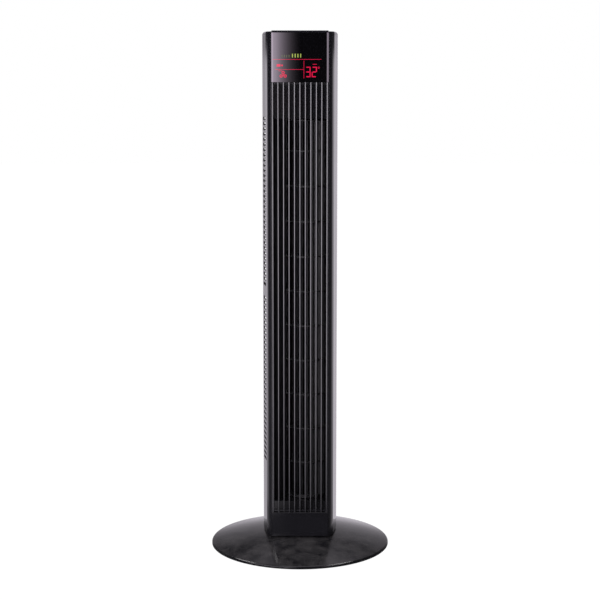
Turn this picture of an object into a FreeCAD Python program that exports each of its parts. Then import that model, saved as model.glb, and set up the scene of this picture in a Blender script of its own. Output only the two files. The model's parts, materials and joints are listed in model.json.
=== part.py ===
import FreeCAD, Part
import math
import os
import Sketcher

# Tower fan. Millimetres, +Z up, the front faces -Y and +X is to the right when seen from the front.
# The origin is the centre of the round base, on the floor.

SIZES = {
    # Round base
    "base_radius": 158.0,
    "skirt_gap": 1.2,
    "rim_height": 2.8,
    "rim_round": 3.0,
    "dome_slope": 12.0,
    "dome_radius": 600.0,
    "base_flat_radius": 62.0,
    "base_top": 26.0,
    "cover_wall": 2.5,
    "plate_margin": 10.0,
    "plate_thickness": 3.0,
    "foot_height": 2.0,
    "foot_radius": 9.0,
    "foot_inset": 28.0,
    "foot_count": 6,
    "cover_screw_inset": 43.0,
    "cover_screw_count": 6,
    "cover_boss_radius": 4.5,
    "cover_screw_bite": 5.0,
    "support_ring_radius": 42.0,
    # Pivot between the base and the tower
    "spindle_radius": 14.0,
    "spindle_neck_radius": 12.5,
    "spindle_bore_radius": 9.5,
    "spindle_flange_radius": 28.0,
    "spindle_flange_thickness": 4.0,
    "spindle_screw_circle": 21.5,
    "cover_hole_gap": 2.0,
    "washer_radius": 46.0,
    "washer_hole_gap": 4.0,
    "swivel_gap": 0.1,
    "swivel_play": 0.3,
    "bush_wall": 2.8,
    "bush_flange_thickness": 1.5,
    "bush_flange_width": 3.0,
    "floor_boss_height": 5.5,
    "floor_boss_wall": 5.0,
    "spindle_nut_height": 5.0,
    "spindle_nut_radius": 19.0,
    "spindle_end": 1.2,
    # Swing gears
    "gear_module": 1.0,
    "ring_teeth": 60,
    "pinion_teeth": 20,
    "gear_thickness": 6.0,
    "pinion_thickness": 5.2,
    "gear_backlash": 0.2,
    "gear_centre_gap": 0.1,
    "pinion_angle": 145.0,
    "swing_shaft_radius": 2.5,
    "swing_shaft_offset": 8.0,
    "swing_motor_radius": 14.0,
    "swing_motor_height": 19.0,
    "swing_motor_lift": 17.5,
    "swing_ear_reach": 17.5,
    "swing_ear_radius": 3.5,
    "swing_ear_thickness": 1.0,
    "swing_ear_rim": 1.0,
    "swing_nose_wall": 2.0,
    "swing_nose_height": 1.5,
    "swing_shaft_depth": 6.0,
    "swing_screw_length": 7.0,
    "swing_screw_head_radius": 3.0,
    # Tower body
    "half_width": 65.0,
    "side_flare": 10.3,
    "side_taper": 6.6,
    "bezel_depth": 50.5,
    "front_depth": 56.0,
    "back_depth": 60.0,
    "corner_radius": 45.0,
    "seam_depth": 40.0,
    "wall": 2.5,
    "fit": 0.3,
    "tower_bottom": 29.0,
    "frame_top": 908.5,
    "cap_drop": 7.5,
    "cap_height": 7.3,
    "cap_round": 6.5,
    "frame_round": 2.5,
    "floor_thickness": 3.5,
    # Front frame and what it carries
    "bezel_width": 5.7,
    "insert_fit": 0.15,
    "bezel_edge": 0.9,
    "insert_drop": 1.5,
    "insert_back": 49.0,
    "backing_thickness": 2.5,
    "flange_thickness": 3.0,
    "lip_height": 1.5,
    "lip_inset": 1.0,
    "lip_depth": 5.0,
    "lens_height": 83.5,
    "lens_front": 57.8,
    "lens_wall": 2.5,
    "lens_bevel": 3.5,
    "chin_top": 72.0,
    "chin_front": 57.2,
    "window_inset": 4.0,
    "window_margin": 6.0,
    "overcut": 1.0,
    # Outlet grille
    "slat_inset": 2.5,
    "slat_width": 2.2,
    "slat_count": 11,
    "slat_front": 56.6,
    "rail_front": 55.5,
    "rail_width": 3.6,
    "tie_depth": 2.5,
    # Intake slots
    "slot_height": 5.0,
    "slot_pitch": 8.95,
    "slot_band": 15.0,
    "slot_overrun": 2.0,
    "slot_front": 37.0,
    "rib_front": 8.0,
    "rib_back": 14.0,
    "rib_inset": 40.0,
    "slot_end": 2.0,
    "lower_slots": 161.0,
    "upper_slots": 472.0,
    "rib_width": 2.0,
    "rib_depth": 4.0,
    # Air duct and impeller
    "impeller_x": 12.0,
    "impeller_y": 6.0,
    "blade_depth": 10.0,
    "blade_thickness": 1.2,
    "blade_curve": 16.0,
    "blade_sweep": 14.0,
    "blade_count": 28,
    "impeller_bottom": 94.5,
    "ring_pitch": 61.0,
    "ring_thickness": 2.4,
    "impeller_end_gap": 2.8,
    "end_disc_thickness": 2.4,
    "hub_radius": 9.0,
    "hub_height": 18.0,
    "shaft_radius": 4.0,
    "running_gap": 0.06,
    "slip_gap": 0.1,
    "duct_gap": 5.5,
    "duct_wall": 2.0,
    "duct_side_gap": 3.0,
    "tongue_round": 2.4,
    "duct_end_angle": 100.0,
    "duct_start_inset": 3.5,
    "tongue_start_angle": 31.0,
    "tongue_end_angle": 36.5,
    "deck_bottom": 88.0,
    "deck_thickness": 3.0,
    "duct_drop": 61.5,
    "duct_top_thickness": 3.0,
    "bearing_wall": 4.9,
    "bearing_height": 8.0,
    # Fan motor
    "motor_radius": 34.0,
    "motor_bottom": 54.5,
    "motor_can_height": 25.5,
    "motor_cap_thickness": 3.0,
    "motor_wall": 1.8,
    "motor_lug_reach": 4.0,
    "motor_lug_radius": 5.0,
    "stator_inner_radius": 20.0,
    "stator_bottom": 60.0,
    "stator_height": 17.0,
    "rotor_gap": 0.5,
    "screw_radius": 1.9,
    "screw_head_radius": 3.5,
    "screw_head_height": 1.6,
    "screw_gap": 0.2,
    "screw_tip_gap": 1.0,
    "pilot_depth": 8.0,
    # Rear screw blocks
    "block_half_width": 16.0,
    "block_depth": 10.0,
    "block_height": 8.0,
    "rear_screw_spacing": 20.0,
    "rear_screw_length": 9.0,
    # Circuit boards
    "board_thickness": 1.6,
    "main_board_half_width": 44.0,
    "main_board_bottom": 38.0,
    "main_board_height": 40.0,
    "standoff_length": 8.5,
    "standoff_radius": 3.2,
    "board_screw_inset": 5.0,
    "board_screw_bite": 6.0,
    "tall_part_height": 6.0,
    "transformer_width": 20.0,
    "transformer_height": 18.0,
    "transformer_x": -18.0,
    "capacitor_radius": 4.0,
    "capacitor_spacing": 12.0,
    "capacitor_x": 4.0,
    "coil_radius": 5.0,
    "coil_x": 15.0,
    "connector_x": 28.0,
    "connector_width": 8.0,
    "connector_height": 16.0,
    "connector_depth": 4.0,
    "display_board_margin": 2.0,
    "display_module_height": 50.0,
    "display_module_inset": 7.0,
    "display_module_gap": 1.0,
    # Control panel on the top
    "button_radius": 6.0,
    "button_gap": 0.3,
    "button_pitch": 18.0,
    "button_row": 5.0,
    "button_proud": 0.8,
    "button_flange": 1.4,
    "button_flange_thickness": 1.5,
    "button_stem_radius": 2.0,
    "button_stem_length": 6.4,
    "button_travel": 1.2,
    "switch_width": 6.0,
    "switch_height": 3.5,
    "plunger_radius": 1.6,
    "plunger_height": 0.8,
    "control_board_inset": 11.5,
    "control_board_half_depth": 17.0,
    # Display graphics
    "graphic_thickness": 0.3,
    "digit_left": 9.0,
    "digit_lift": 8.5,
    "digit_width": 8.8,
    "digit_height": 17.6,
    "digit_gap": 1.9,
    "digit_stroke": 1.8,
    "segment_gap": 0.2,
    "degree_radius": 1.6,
    "degree_wall": 0.7,
    "degree_gap": 3.0,
    "dash_length": 7.0,
    "dash_thickness": 0.8,
    "dash_lift": 3.6,
    "rule_thickness": 0.6,
    "rule_left": -46.0,
    "rule_right": 36.0,
    "rule_top_lift": 38.3,
    "rule_middle_left": -42.5,
    "rule_middle_lift": 21.5,
    "rule_column": 6.6,
    "rule_gap": 2.0,
    "bar_lift": 41.5,
    "bar_height": 6.2,
    "bar_width": 1.8,
    "bar_pitch": 4.6,
    "bar_first": -13.6,
    "dim_bar_height": 4.4,
    "dim_bar_width": 1.3,
    "dim_bar_pitch": 3.9,
    "dim_bar_first": -30.8,
    "icon_x": -28.5,
    "icon_lift": 12.5,
    "icon_hub_radius": 1.1,
    "icon_blade_radius": 2.7,
    "icon_blade_hole": 1.3,
    "icon_reach": 3.9,
    "mode_left": -39.5,
    "mode_lift": 26.3,
    "mode_width": 6.5,
    "mode_height": 4.0,
    "mode_dot_gap": 2.6,
    "mode_dot_radius": 1.5,
    "mode_dash_lift": 18.8,
    "mode_dash_height": 0.8,
    # Cord inlet
    "gland_height": 52.0,
    "gland_barrel_radius": 6.8,
    "gland_bore_radius": 3.3,
    "gland_flange_radius": 9.5,
    "gland_flange_thickness": 2.0,
}

doc = FreeCAD.newDocument("TowerFan")
sheet = doc.addObject("Spreadsheet::Sheet", "size")
for row, (alias, number) in enumerate(SIZES.items(), start=1):
    sheet.set(f"A{row}", alias)
    sheet.set(f"B{row}", str(number))
    sheet.setAlias(f"B{row}", alias)
doc.recompute()

nodes = []


def mm(expression):
    """The number that an expression over the sheet's cells gives."""
    return float(sheet.evalExpression(expression))


# Places that several pieces share, as expressions over the sheet.
RIM_TOP = "(size.skirt_gap + size.rim_height)"
SHOULDER_X = "(size.base_radius - size.rim_round * (1 - sin(size.dome_slope)))"
SHOULDER_Z = f"({RIM_TOP} + size.rim_round * cos(size.dome_slope))"
PLATE_TOP = "(size.foot_height + size.plate_thickness)"
COVER_SCREW_CIRCLE = "(size.base_radius - size.cover_screw_inset)"
COVER_BOSS_TOP = (f"({SHOULDER_Z} + (size.base_top - {SHOULDER_Z}) * ({SHOULDER_X} - {COVER_SCREW_CIRCLE})"
                  f" / ({SHOULDER_X} - size.base_flat_radius))")
FLANGE_TOP = f"({PLATE_TOP} + size.spindle_flange_thickness)"
FLOOR_TOP = "(size.tower_bottom + size.floor_thickness)"
FLOOR_BOSS_TOP = f"({FLOOR_TOP} + size.floor_boss_height)"
BUSH_TOP = f"({FLOOR_BOSS_TOP} + size.bush_flange_thickness)"
BUSH_RADIUS = "(size.spindle_radius + size.running_gap + size.bush_wall)"
GEAR_BOTTOM = f"({BUSH_TOP} + size.swivel_play)"
GEAR_TOP = f"({GEAR_BOTTOM} + size.gear_thickness)"
NUT_TOP = f"({GEAR_TOP} + size.spindle_nut_height)"
PINION_BOTTOM = f"({GEAR_BOTTOM} + (size.gear_thickness - size.pinion_thickness) / 2)"
GEAR_DISTANCE = "(size.gear_module * (size.ring_teeth + size.pinion_teeth) / 2 + size.gear_centre_gap)"
PINION_X = f"({GEAR_DISTANCE} * cos(size.pinion_angle))"
PINION_Y = f"({GEAR_DISTANCE} * sin(size.pinion_angle))"
SWING_MOTOR_X = f"(({GEAR_DISTANCE} + size.swing_shaft_offset) * cos(size.pinion_angle))"
SWING_MOTOR_Y = f"(({GEAR_DISTANCE} + size.swing_shaft_offset) * sin(size.pinion_angle))"
SWING_MOTOR_BOTTOM = f"({FLOOR_TOP} + size.swing_motor_lift)"
BEZEL_HALF_WIDTH = "(size.half_width - size.side_flare)"
INSERT_HALF_WIDTH = f"({BEZEL_HALF_WIDTH} - size.bezel_width)"
HOLLOW_HALF_WIDTH = f"({BEZEL_HALF_WIDTH} - size.flange_thickness)"
WINDOW_HALF_WIDTH = f"({INSERT_HALF_WIDTH} - size.window_inset)"
SLAT_REACH = f"({INSERT_HALF_WIDTH} - size.slat_inset)"
HOUSING_TOP = "(size.frame_top - size.cap_drop)"
INSERT_TOP = "(size.frame_top - size.insert_drop)"
LENS_BOTTOM = f"({INSERT_TOP} - size.lens_height)"
DUCT_TOP_BOTTOM = f"({LENS_BOTTOM} - size.duct_drop)"
BACKING_BACK = "(size.insert_back - size.backing_thickness)"
CAP_TOP = f"({HOUSING_TOP} + size.cap_height)"
CAP_UNDERSIDE = f"({CAP_TOP} - size.wall)"
LIP_TOP = "(size.frame_top + size.lip_height)"
DECK_TOP = "(size.deck_bottom + size.deck_thickness)"
DUCT_TOP_TOP = f"({DUCT_TOP_BOTTOM} + size.duct_top_thickness)"
DUCT_RADIUS = ("(min(size.half_width - size.impeller_x; size.back_depth - size.impeller_y)"
               " - size.wall - size.duct_side_gap - size.duct_wall)")
IMPELLER_RADIUS = f"({DUCT_RADIUS} - size.duct_gap)"
BLADE_INNER_RADIUS = f"({IMPELLER_RADIUS} - size.blade_depth)"
IMPELLER_TOP = f"({DUCT_TOP_BOTTOM} - size.impeller_end_gap - size.end_disc_thickness)"
RING_COUNT = f"(floor(({IMPELLER_TOP} - size.impeller_bottom) / size.ring_pitch) + 1)"
MOTOR_LUG_CIRCLE = "(size.motor_radius + size.motor_lug_reach)"
MOTOR_CAN_TOP = "(size.motor_bottom + size.motor_can_height)"
MOTOR_CAP_TOP = f"({MOTOR_CAN_TOP} + size.motor_cap_thickness)"
HUB_BOTTOM = "(size.impeller_bottom - size.end_disc_thickness)"
FLOOR_SCREW_Z = f"({FLOOR_TOP} + size.block_height / 2)"
DECK_SCREW_Z = "(size.deck_bottom - size.block_height / 2)"
DUCT_SCREW_Z = f"({DUCT_TOP_TOP} + size.block_height / 2)"
MAIN_BOARD_FRONT = f"({BACKING_BACK} - size.standoff_length)"
STEM_BOTTOM = f"({CAP_UNDERSIDE} - size.button_gap - size.button_flange_thickness - size.button_stem_length)"
PLUNGER_TOP = f"({STEM_BOTTOM} - size.button_travel - size.slip_gap)"
CONTROL_BOARD_TOP = f"({PLUNGER_TOP} - size.plunger_height - size.switch_height)"
CONTROL_BOARD_BOTTOM = f"({CONTROL_BOARD_TOP} - size.board_thickness)"
CONTROL_BOARD_HALF_WIDTH = "(size.half_width - size.wall - size.control_board_inset)"
LOWER_SLOT_COUNT = ("(floor((size.upper_slots - size.slot_band - size.slot_height - size.lower_slots)"
                    " / size.slot_pitch) + 1)")
UPPER_SLOT_COUNT = (f"(floor(({DUCT_TOP_BOTTOM} + size.slot_overrun - size.slot_height - size.upper_slots)"
                    " / size.slot_pitch) + 1)")
DIGIT_BOTTOM = f"({LENS_BOTTOM} + size.digit_lift)"
DIGIT_TOP = f"({DIGIT_BOTTOM} + size.digit_height)"
DIGITS_RIGHT = "(size.digit_left + 2 * size.digit_width + size.digit_gap)"
RULE_TOP = f"({LENS_BOTTOM} + size.rule_top_lift)"
RULE_MIDDLE = f"({LENS_BOTTOM} + size.rule_middle_lift)"
BAR_BOTTOM = f"({LENS_BOTTOM} + size.bar_lift)"
ICON_Z = f"({LENS_BOTTOM} + size.icon_lift)"
PILOT = "(size.screw_radius + size.slip_gap)"
CLEARANCE = "(size.screw_radius + size.screw_gap)"


def new_body(name):
    """A sub-part whose Label names its file."""
    body = doc.addObject("PartDesign::Body", name)
    body.Label = name
    nodes.append(body)
    return body


def sketch_at(body, name, role, offset):
    """A sketch parallel to one of the body's own origin planes, moved along that plane's normal."""
    plane = next(item for item in body.Origin.OriginFeatures if item.Role == role)
    sketch = body.newObject("Sketcher::SketchObject", name)
    sketch.AttachmentSupport = [(plane, "")]
    sketch.MapMode = "FlatFace"
    sketch.setExpression("AttachmentOffset.Base.z", offset)
    return sketch


def bind(sketch, kind, references, expression):
    """A dimensional constraint that follows an expression."""
    number = sketch.addConstraint(Sketcher.Constraint(kind, *references, mm(expression)))
    sketch.setExpression(f"Constraints[{number}]", expression)


def arc_between(start, end, radius, side):
    """The minor arc from start to end; its centre is on the left of the way for side 1, right for -1."""
    chord = end - start
    left = FreeCAD.Vector(-chord.y, chord.x, 0).normalize()
    reach = math.sqrt(radius ** 2 - (chord.Length / 2) ** 2)
    centre = (start + end) * 0.5 + left * (side * reach)
    first, last = (start, end) if side > 0 else (end, start)
    first_angle = math.atan2(first.y - centre.y, first.x - centre.x)
    last_angle = math.atan2(last.y - centre.y, last.x - centre.x)
    return Part.ArcOfCircle(Part.Circle(centre, FreeCAD.Vector(0, 0, 1), radius), first_angle, last_angle)


def outline(vertices, arcs=None):
    """Draws a closed outline; arcs maps the number of an edge to its radius and side."""
    arcs = arcs or {}

    def draw(sketch):
        points = [FreeCAD.Vector(mm(x), mm(y), 0) for x, y in vertices]
        ends = []
        for number, start in enumerate(points):
            end = points[(number + 1) % len(points)]
            if number in arcs:
                radius, side = arcs[number]
                edge = sketch.addGeometry(arc_between(start, end, mm(radius), side))
                bind(sketch, "Radius", (edge,), radius)
                ends.append((edge, 1, 2) if side > 0 else (edge, 2, 1))
            else:
                edge = sketch.addGeometry(Part.LineSegment(start, end))
                ends.append((edge, 1, 2))
        for number, (edge, first, last) in enumerate(ends):
            following = ends[(number + 1) % len(ends)]
            sketch.addConstraint(Sketcher.Constraint("Coincident", edge, last, following[0], following[1]))
            bind(sketch, "DistanceX", (-1, 1, edge, first), vertices[number][0])
            bind(sketch, "DistanceY", (-1, 1, edge, first), vertices[number][1])

    return draw


def rectangle(left, right, low, high):
    return outline([(left, low), (right, low), (right, high), (left, high)])


def centred(half_width, low, high):
    return rectangle(f"-({half_width})", half_width, low, high)


def block_about(x, y, width, height):
    """A rectangle about its own centre."""
    return rectangle(f"{x} - {width} / 2", f"{x} + {width} / 2", f"{y} - {height} / 2", f"{y} + {height} / 2")


def disc(x, y, radius):
    def draw(sketch):
        centre = FreeCAD.Vector(mm(x), mm(y), 0)
        edge = sketch.addGeometry(Part.Circle(centre, FreeCAD.Vector(0, 0, 1), mm(radius)))
        bind(sketch, "DistanceX", (-1, 1, edge, 3), x)
        bind(sketch, "DistanceY", (-1, 1, edge, 3), y)
        bind(sketch, "Radius", (edge,), radius)

    return draw


def around(count, circle, radius, centre_x="0", centre_y="0", turn=0.0):
    """Discs spaced evenly on a circle."""
    places = [turn + 360.0 * number / count for number in range(count)]
    return [disc(f"{centre_x} + {circle} * cos({angle})", f"{centre_y} + {circle} * sin({angle})", radius)
            for angle in places]


def feature(body, kind, name, role, offset, length, shapes, backwards=False):
    sketch = sketch_at(body, name + "Sketch", role, offset)
    for draw in shapes:
        draw(sketch)
    made = body.newObject(kind, name)
    made.Profile = sketch
    made.setExpression("Length", length)
    made.Reversed = backwards
    return made


def pad_up(body, name, bottom, height, *shapes):
    return feature(body, "PartDesign::Pad", name, "XY_Plane", bottom, height, shapes)


def cut_down(body, name, top, depth, *shapes):
    return feature(body, "PartDesign::Pocket", name, "XY_Plane", top, depth, shapes)


def pad_forward(body, name, back, depth, *shapes):
    """A pad drawn in X and Z that grows towards the front, where back is how far its plane is forward."""
    return feature(body, "PartDesign::Pad", name, "XZ_Plane", back, depth, shapes)


def cut_back(body, name, front, depth, *shapes):
    """A pocket drawn in X and Z that cuts from a plane towards the rear."""
    return feature(body, "PartDesign::Pocket", name, "XZ_Plane", front, depth, shapes)


def cut_forward(body, name, back, depth, *shapes):
    """A pocket drawn in X and Z that cuts from a plane towards the front."""
    return feature(body, "PartDesign::Pocket", name, "XZ_Plane", back, depth, shapes, backwards=True)


def revolve(body, name, vertices, arcs=None):
    """A solid of revolution about Z, drawn in X and Z."""
    sketch = sketch_at(body, name + "Sketch", "XZ_Plane", "0")
    outline(vertices, arcs)(sketch)
    made = body.newObject("PartDesign::Revolution", name)
    made.Profile = sketch
    made.ReferenceAxis = (sketch, ["V_Axis"])
    made.Angle = 360
    return made


def repeat(body, name, original, axis, length, count):
    """A linear pattern of one feature along an axis of its sketch."""
    pattern = body.newObject("PartDesign::LinearPattern", name)
    pattern.Originals = [original]
    pattern.Direction = (original.Profile[0], [axis])
    pattern.setExpression("Length", length)
    pattern.setExpression("Occurrences", count)
    body.Tip = pattern
    return pattern


def dress(body, kind, name, property_name, amount, chosen):
    """A fillet or chamfer on the edges of the body's tip that a test chooses."""
    doc.recompute()
    base = body.Tip
    names = [f"Edge{number}" for number, edge in enumerate(base.Shape.Edges, start=1) if chosen(edge)]
    made = body.newObject(kind, name)
    made.Base = (base, names)
    made.setExpression(property_name, amount)
    return made


def side_x(depth, inset="0"):
    """Half the width of the tower at a depth in front of its middle, measured inside its skin."""
    return f"(size.half_width - {inset} - size.side_taper * ({depth}) / size.seam_depth)"


def rear_arc(inset, front_x, front_depth):
    """The tower's right side, rear corners and left side, set inside the skin, from front to front."""
    side = f"(size.half_width - {inset})"
    back = f"(size.back_depth - {inset})"
    corner = "(size.back_depth - size.corner_radius)"
    flat = "(size.half_width - size.corner_radius)"
    right = [(front_x, f"-({front_depth})"), (side, "0"), (side, corner), (flat, back)]
    left = [(f"-{x}", y) for x, y in reversed(right)]
    radius = f"(size.corner_radius - {inset})"
    return right + left, {2: radius, 4: radius}


def plate_outline(inset):
    """The inside of the tower, in plan, from the frame's backing to the rear wall."""
    step = f"(size.seam_depth - {inset} + size.wall)"
    vertices, radii = rear_arc(inset, side_x(step, inset), step)
    front = f"-({BACKING_BACK} - size.fit)"
    narrow = f"({HOLLOW_HALF_WIDTH} - size.fit)"
    vertices += [(f"-{narrow}", f"-{step}"), (f"-{narrow}", front), (narrow, front), (narrow, f"-{step}")]
    return outline(vertices, {edge: (radius, 1) for edge, radius in radii.items()})


def rear_block(body, name, bottom):
    """A block at the rear edge of a plate, which the rear screws hold."""
    inside = "(size.back_depth - size.wall - size.fit)"
    pad_up(body, name, bottom, "size.block_height",
           centred("size.block_half_width", f"{inside} - size.block_depth", inside))


def rear_screw_holes(body, name, height, radius):
    """Two holes through a rear block or the rear wall, one on each side of the middle."""
    holes = [disc(f"{side} * size.rear_screw_spacing / 2", height, radius) for side in (-1, 1)]
    cut_back(body, name, "-(size.back_depth - size.wall - size.rear_screw_length)",
             "size.rear_screw_length + 2 * size.wall", *holes)


# ---------------------------------------------------------------- base

def base_plate():
    body = new_body("base_plate")
    pad_up(body, "Disc", "size.foot_height", "size.plate_thickness",
           disc("0", "0", "size.base_radius - size.plate_margin"),
           disc("0", "0", "size.spindle_bore_radius"))
    cut_down(body, "CoverScrewHoles", PLATE_TOP, "size.plate_thickness",
             *around(int(mm("size.cover_screw_count")), COVER_SCREW_CIRCLE, CLEARANCE))
    cut_down(body, "SpindleScrewHoles", PLATE_TOP, "size.plate_thickness",
             *around(4, "size.spindle_screw_circle", CLEARANCE, turn=45.0))


def base_cover():
    body = new_body("base_cover")
    hole = "(size.spindle_radius + size.cover_hole_gap)"
    inner_x = "(size.base_radius - size.cover_wall)"
    inner_top = "(size.base_top - size.cover_wall)"
    vertices = [(hole, "size.base_top"), ("size.base_flat_radius", "size.base_top"), (SHOULDER_X, SHOULDER_Z),
                ("size.base_radius", RIM_TOP), ("size.base_radius", "size.skirt_gap"),
                (inner_x, "size.skirt_gap"), (inner_x, RIM_TOP), ("size.base_flat_radius", inner_top),
                (hole, inner_top)]
    revolve(body, "Dish", vertices, {1: ("size.dome_radius", -1), 2: ("size.rim_round", -1),
                                     6: ("size.dome_radius - size.cover_wall", 1)})
    pad_up(body, "SupportRing", PLATE_TOP, f"size.base_top - size.cover_wall / 2 - {PLATE_TOP}",
           disc("0", "0", "size.support_ring_radius"),
           disc("0", "0", "size.support_ring_radius - size.cover_wall"))
    count = int(mm("size.cover_screw_count"))
    pad_up(body, "ScrewBosses", PLATE_TOP, f"{COVER_BOSS_TOP} - {PLATE_TOP}",
           *around(count, COVER_SCREW_CIRCLE, "size.cover_boss_radius"))
    cut_down(body, "ScrewPilots", f"{COVER_BOSS_TOP} - size.cover_wall / 2",
             f"{COVER_BOSS_TOP} - size.cover_wall / 2 - {PLATE_TOP}",
             *around(count, COVER_SCREW_CIRCLE, PILOT))


def rubber_feet():
    body = new_body("rubber_feet")
    pad_up(body, "Pads", "0", "size.foot_height",
           *around(int(mm("size.foot_count")), "(size.base_radius - size.foot_inset)",
                   "size.foot_radius", turn=30.0))


def screws_up(name, head_top, length, places):
    """Pan-head screws driven upwards; places is a function that draws one disc of a given radius at each."""
    body = new_body(name)
    pad_up(body, "Heads", f"{head_top} - size.screw_head_height", "size.screw_head_height",
           *places("size.screw_head_radius"))
    pad_up(body, "Shanks", head_top, length, *places("size.screw_radius"))


def base_fasteners():
    screws_up("base_screws", "size.foot_height", "size.plate_thickness + size.cover_screw_bite",
              lambda radius: around(int(mm("size.cover_screw_count")), COVER_SCREW_CIRCLE, radius))
    screws_up("spindle_screws", "size.foot_height", "size.plate_thickness + size.spindle_flange_thickness",
              lambda radius: around(4, "size.spindle_screw_circle", radius, turn=45.0))


def pivot_spindle():
    body = new_body("pivot_spindle")
    bore = "size.spindle_bore_radius"
    revolve(body, "Turned", [(bore, PLATE_TOP), ("size.spindle_flange_radius", PLATE_TOP),
                             ("size.spindle_flange_radius", FLANGE_TOP), ("size.spindle_radius", FLANGE_TOP),
                             ("size.spindle_radius", GEAR_BOTTOM), ("size.spindle_neck_radius", GEAR_BOTTOM),
                             ("size.spindle_neck_radius", f"{NUT_TOP} + size.spindle_end"),
                             (bore, f"{NUT_TOP} + size.spindle_end")])
    cut_down(body, "ScrewHoles", FLANGE_TOP, "size.spindle_flange_thickness",
             *around(4, "size.spindle_screw_circle", PILOT, turn=45.0))


def thrust_washer():
    body = new_body("thrust_washer")
    pad_up(body, "Ring", "size.base_top", "size.tower_bottom - size.base_top - size.swivel_gap",
           disc("0", "0", "size.washer_radius"), disc("0", "0", "size.spindle_radius + size.washer_hole_gap"))


def gear_solid(teeth, tooth_angle, bore, thickness):
    """A spur gear on the XY plane with involute flanks of 20 degrees and one tooth centred on tooth_angle."""
    module = mm("size.gear_module")
    pitch_radius = module * teeth / 2
    base_radius = pitch_radius * math.cos(math.radians(20))
    tip_radius = pitch_radius + module
    root_radius = pitch_radius - 1.25 * module
    start_radius = max(base_radius, root_radius)

    def involute(radius):
        pressure = math.acos(min(1.0, base_radius / radius))
        return math.tan(pressure) - pressure

    half_at_pitch = (math.pi * module / 2 - mm("size.gear_backlash")) / (2 * pitch_radius)
    steps = 5
    radii = [start_radius + (tip_radius - start_radius) * step / steps for step in range(steps + 1)]
    flank = [(radius, half_at_pitch + involute(pitch_radius) - involute(radius)) for radius in radii]
    half_tooth = [(root_radius, flank[0][1])] + flank
    points = []
    for tooth in range(teeth):
        middle = tooth_angle + 2 * math.pi * tooth / teeth
        rising = [(radius, middle - half) for radius, half in half_tooth]
        falling = [(radius, middle + half) for radius, half in reversed(half_tooth)]
        points += rising + falling
    corners = [FreeCAD.Vector(radius * math.cos(angle), radius * math.sin(angle), 0)
               for radius, angle in points]
    blank = Part.Face(Part.makePolygon(corners + corners[:1])).extrude(FreeCAD.Vector(0, 0, thickness))
    return blank.cut(Part.makeCylinder(bore, thickness))


def gear(name, teeth, tooth_angle, bore, thickness, centre):
    """A gear as its own object, placed on its shaft."""
    made = doc.addObject("Part::Feature", name)
    made.Label = name
    made.Shape = gear_solid(teeth, tooth_angle, bore, thickness)
    made.Placement = FreeCAD.Placement(centre, FreeCAD.Rotation())
    nodes.append(made)


def swing_gears():
    angle = math.radians(mm("size.pinion_angle"))
    pinion_teeth = int(mm("size.pinion_teeth"))
    gear("swing_ring_gear", int(mm("size.ring_teeth")), angle, mm("size.spindle_neck_radius + size.slip_gap"),
         mm("size.gear_thickness"), FreeCAD.Vector(0, 0, mm(GEAR_BOTTOM)))
    gear("swing_pinion", pinion_teeth, angle + math.pi + math.pi / pinion_teeth,
         mm("size.swing_shaft_radius + size.slip_gap"), mm("size.pinion_thickness"),
         FreeCAD.Vector(mm(PINION_X), mm(PINION_Y), mm(PINION_BOTTOM)))


def spindle_nut():
    body = new_body("spindle_nut")
    corners = [(f"size.spindle_nut_radius * cos({angle})", f"size.spindle_nut_radius * sin({angle})")
               for angle in range(0, 360, 60)]
    pad_up(body, "Hexagon", GEAR_TOP, "size.spindle_nut_height", outline(corners),
           disc("0", "0", "size.spindle_neck_radius + size.slip_gap"))


# ---------------------------------------------------------------- tower shell

def tower_floor():
    body = new_body("tower_floor")
    bore = f"{BUSH_RADIUS} + size.slip_gap"
    pad_up(body, "Plate", "size.tower_bottom", "size.floor_thickness",
           plate_outline("(size.wall + size.fit)"))
    pad_up(body, "Boss", "size.tower_bottom", f"{FLOOR_BOSS_TOP} - size.tower_bottom",
           disc("0", "0", f"{bore} + size.floor_boss_wall"))
    cut_down(body, "BushHole", FLOOR_BOSS_TOP, f"{FLOOR_BOSS_TOP} - size.tower_bottom", disc("0", "0", bore))
    pad_up(body, "SwingMotorPosts", FLOOR_TOP, "size.swing_motor_lift", *swing_ears("size.swing_ear_radius"))
    cut_down(body, "SwingMotorPilots", SWING_MOTOR_BOTTOM, "size.pilot_depth", *swing_ears(PILOT))
    rear_block(body, "RearBlock", FLOOR_TOP)
    rear_screw_holes(body, "RearPilots", FLOOR_SCREW_Z, PILOT)


def swivel_bush():
    body = new_body("swivel_bush")
    inner = "size.spindle_radius + size.running_gap"
    revolve(body, "Turned", [(inner, "size.tower_bottom"), (BUSH_RADIUS, "size.tower_bottom"),
                             (BUSH_RADIUS, FLOOR_BOSS_TOP),
                             (f"{BUSH_RADIUS} + size.bush_flange_width", FLOOR_BOSS_TOP),
                             (f"{BUSH_RADIUS} + size.bush_flange_width", BUSH_TOP), (inner, BUSH_TOP)])


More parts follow.
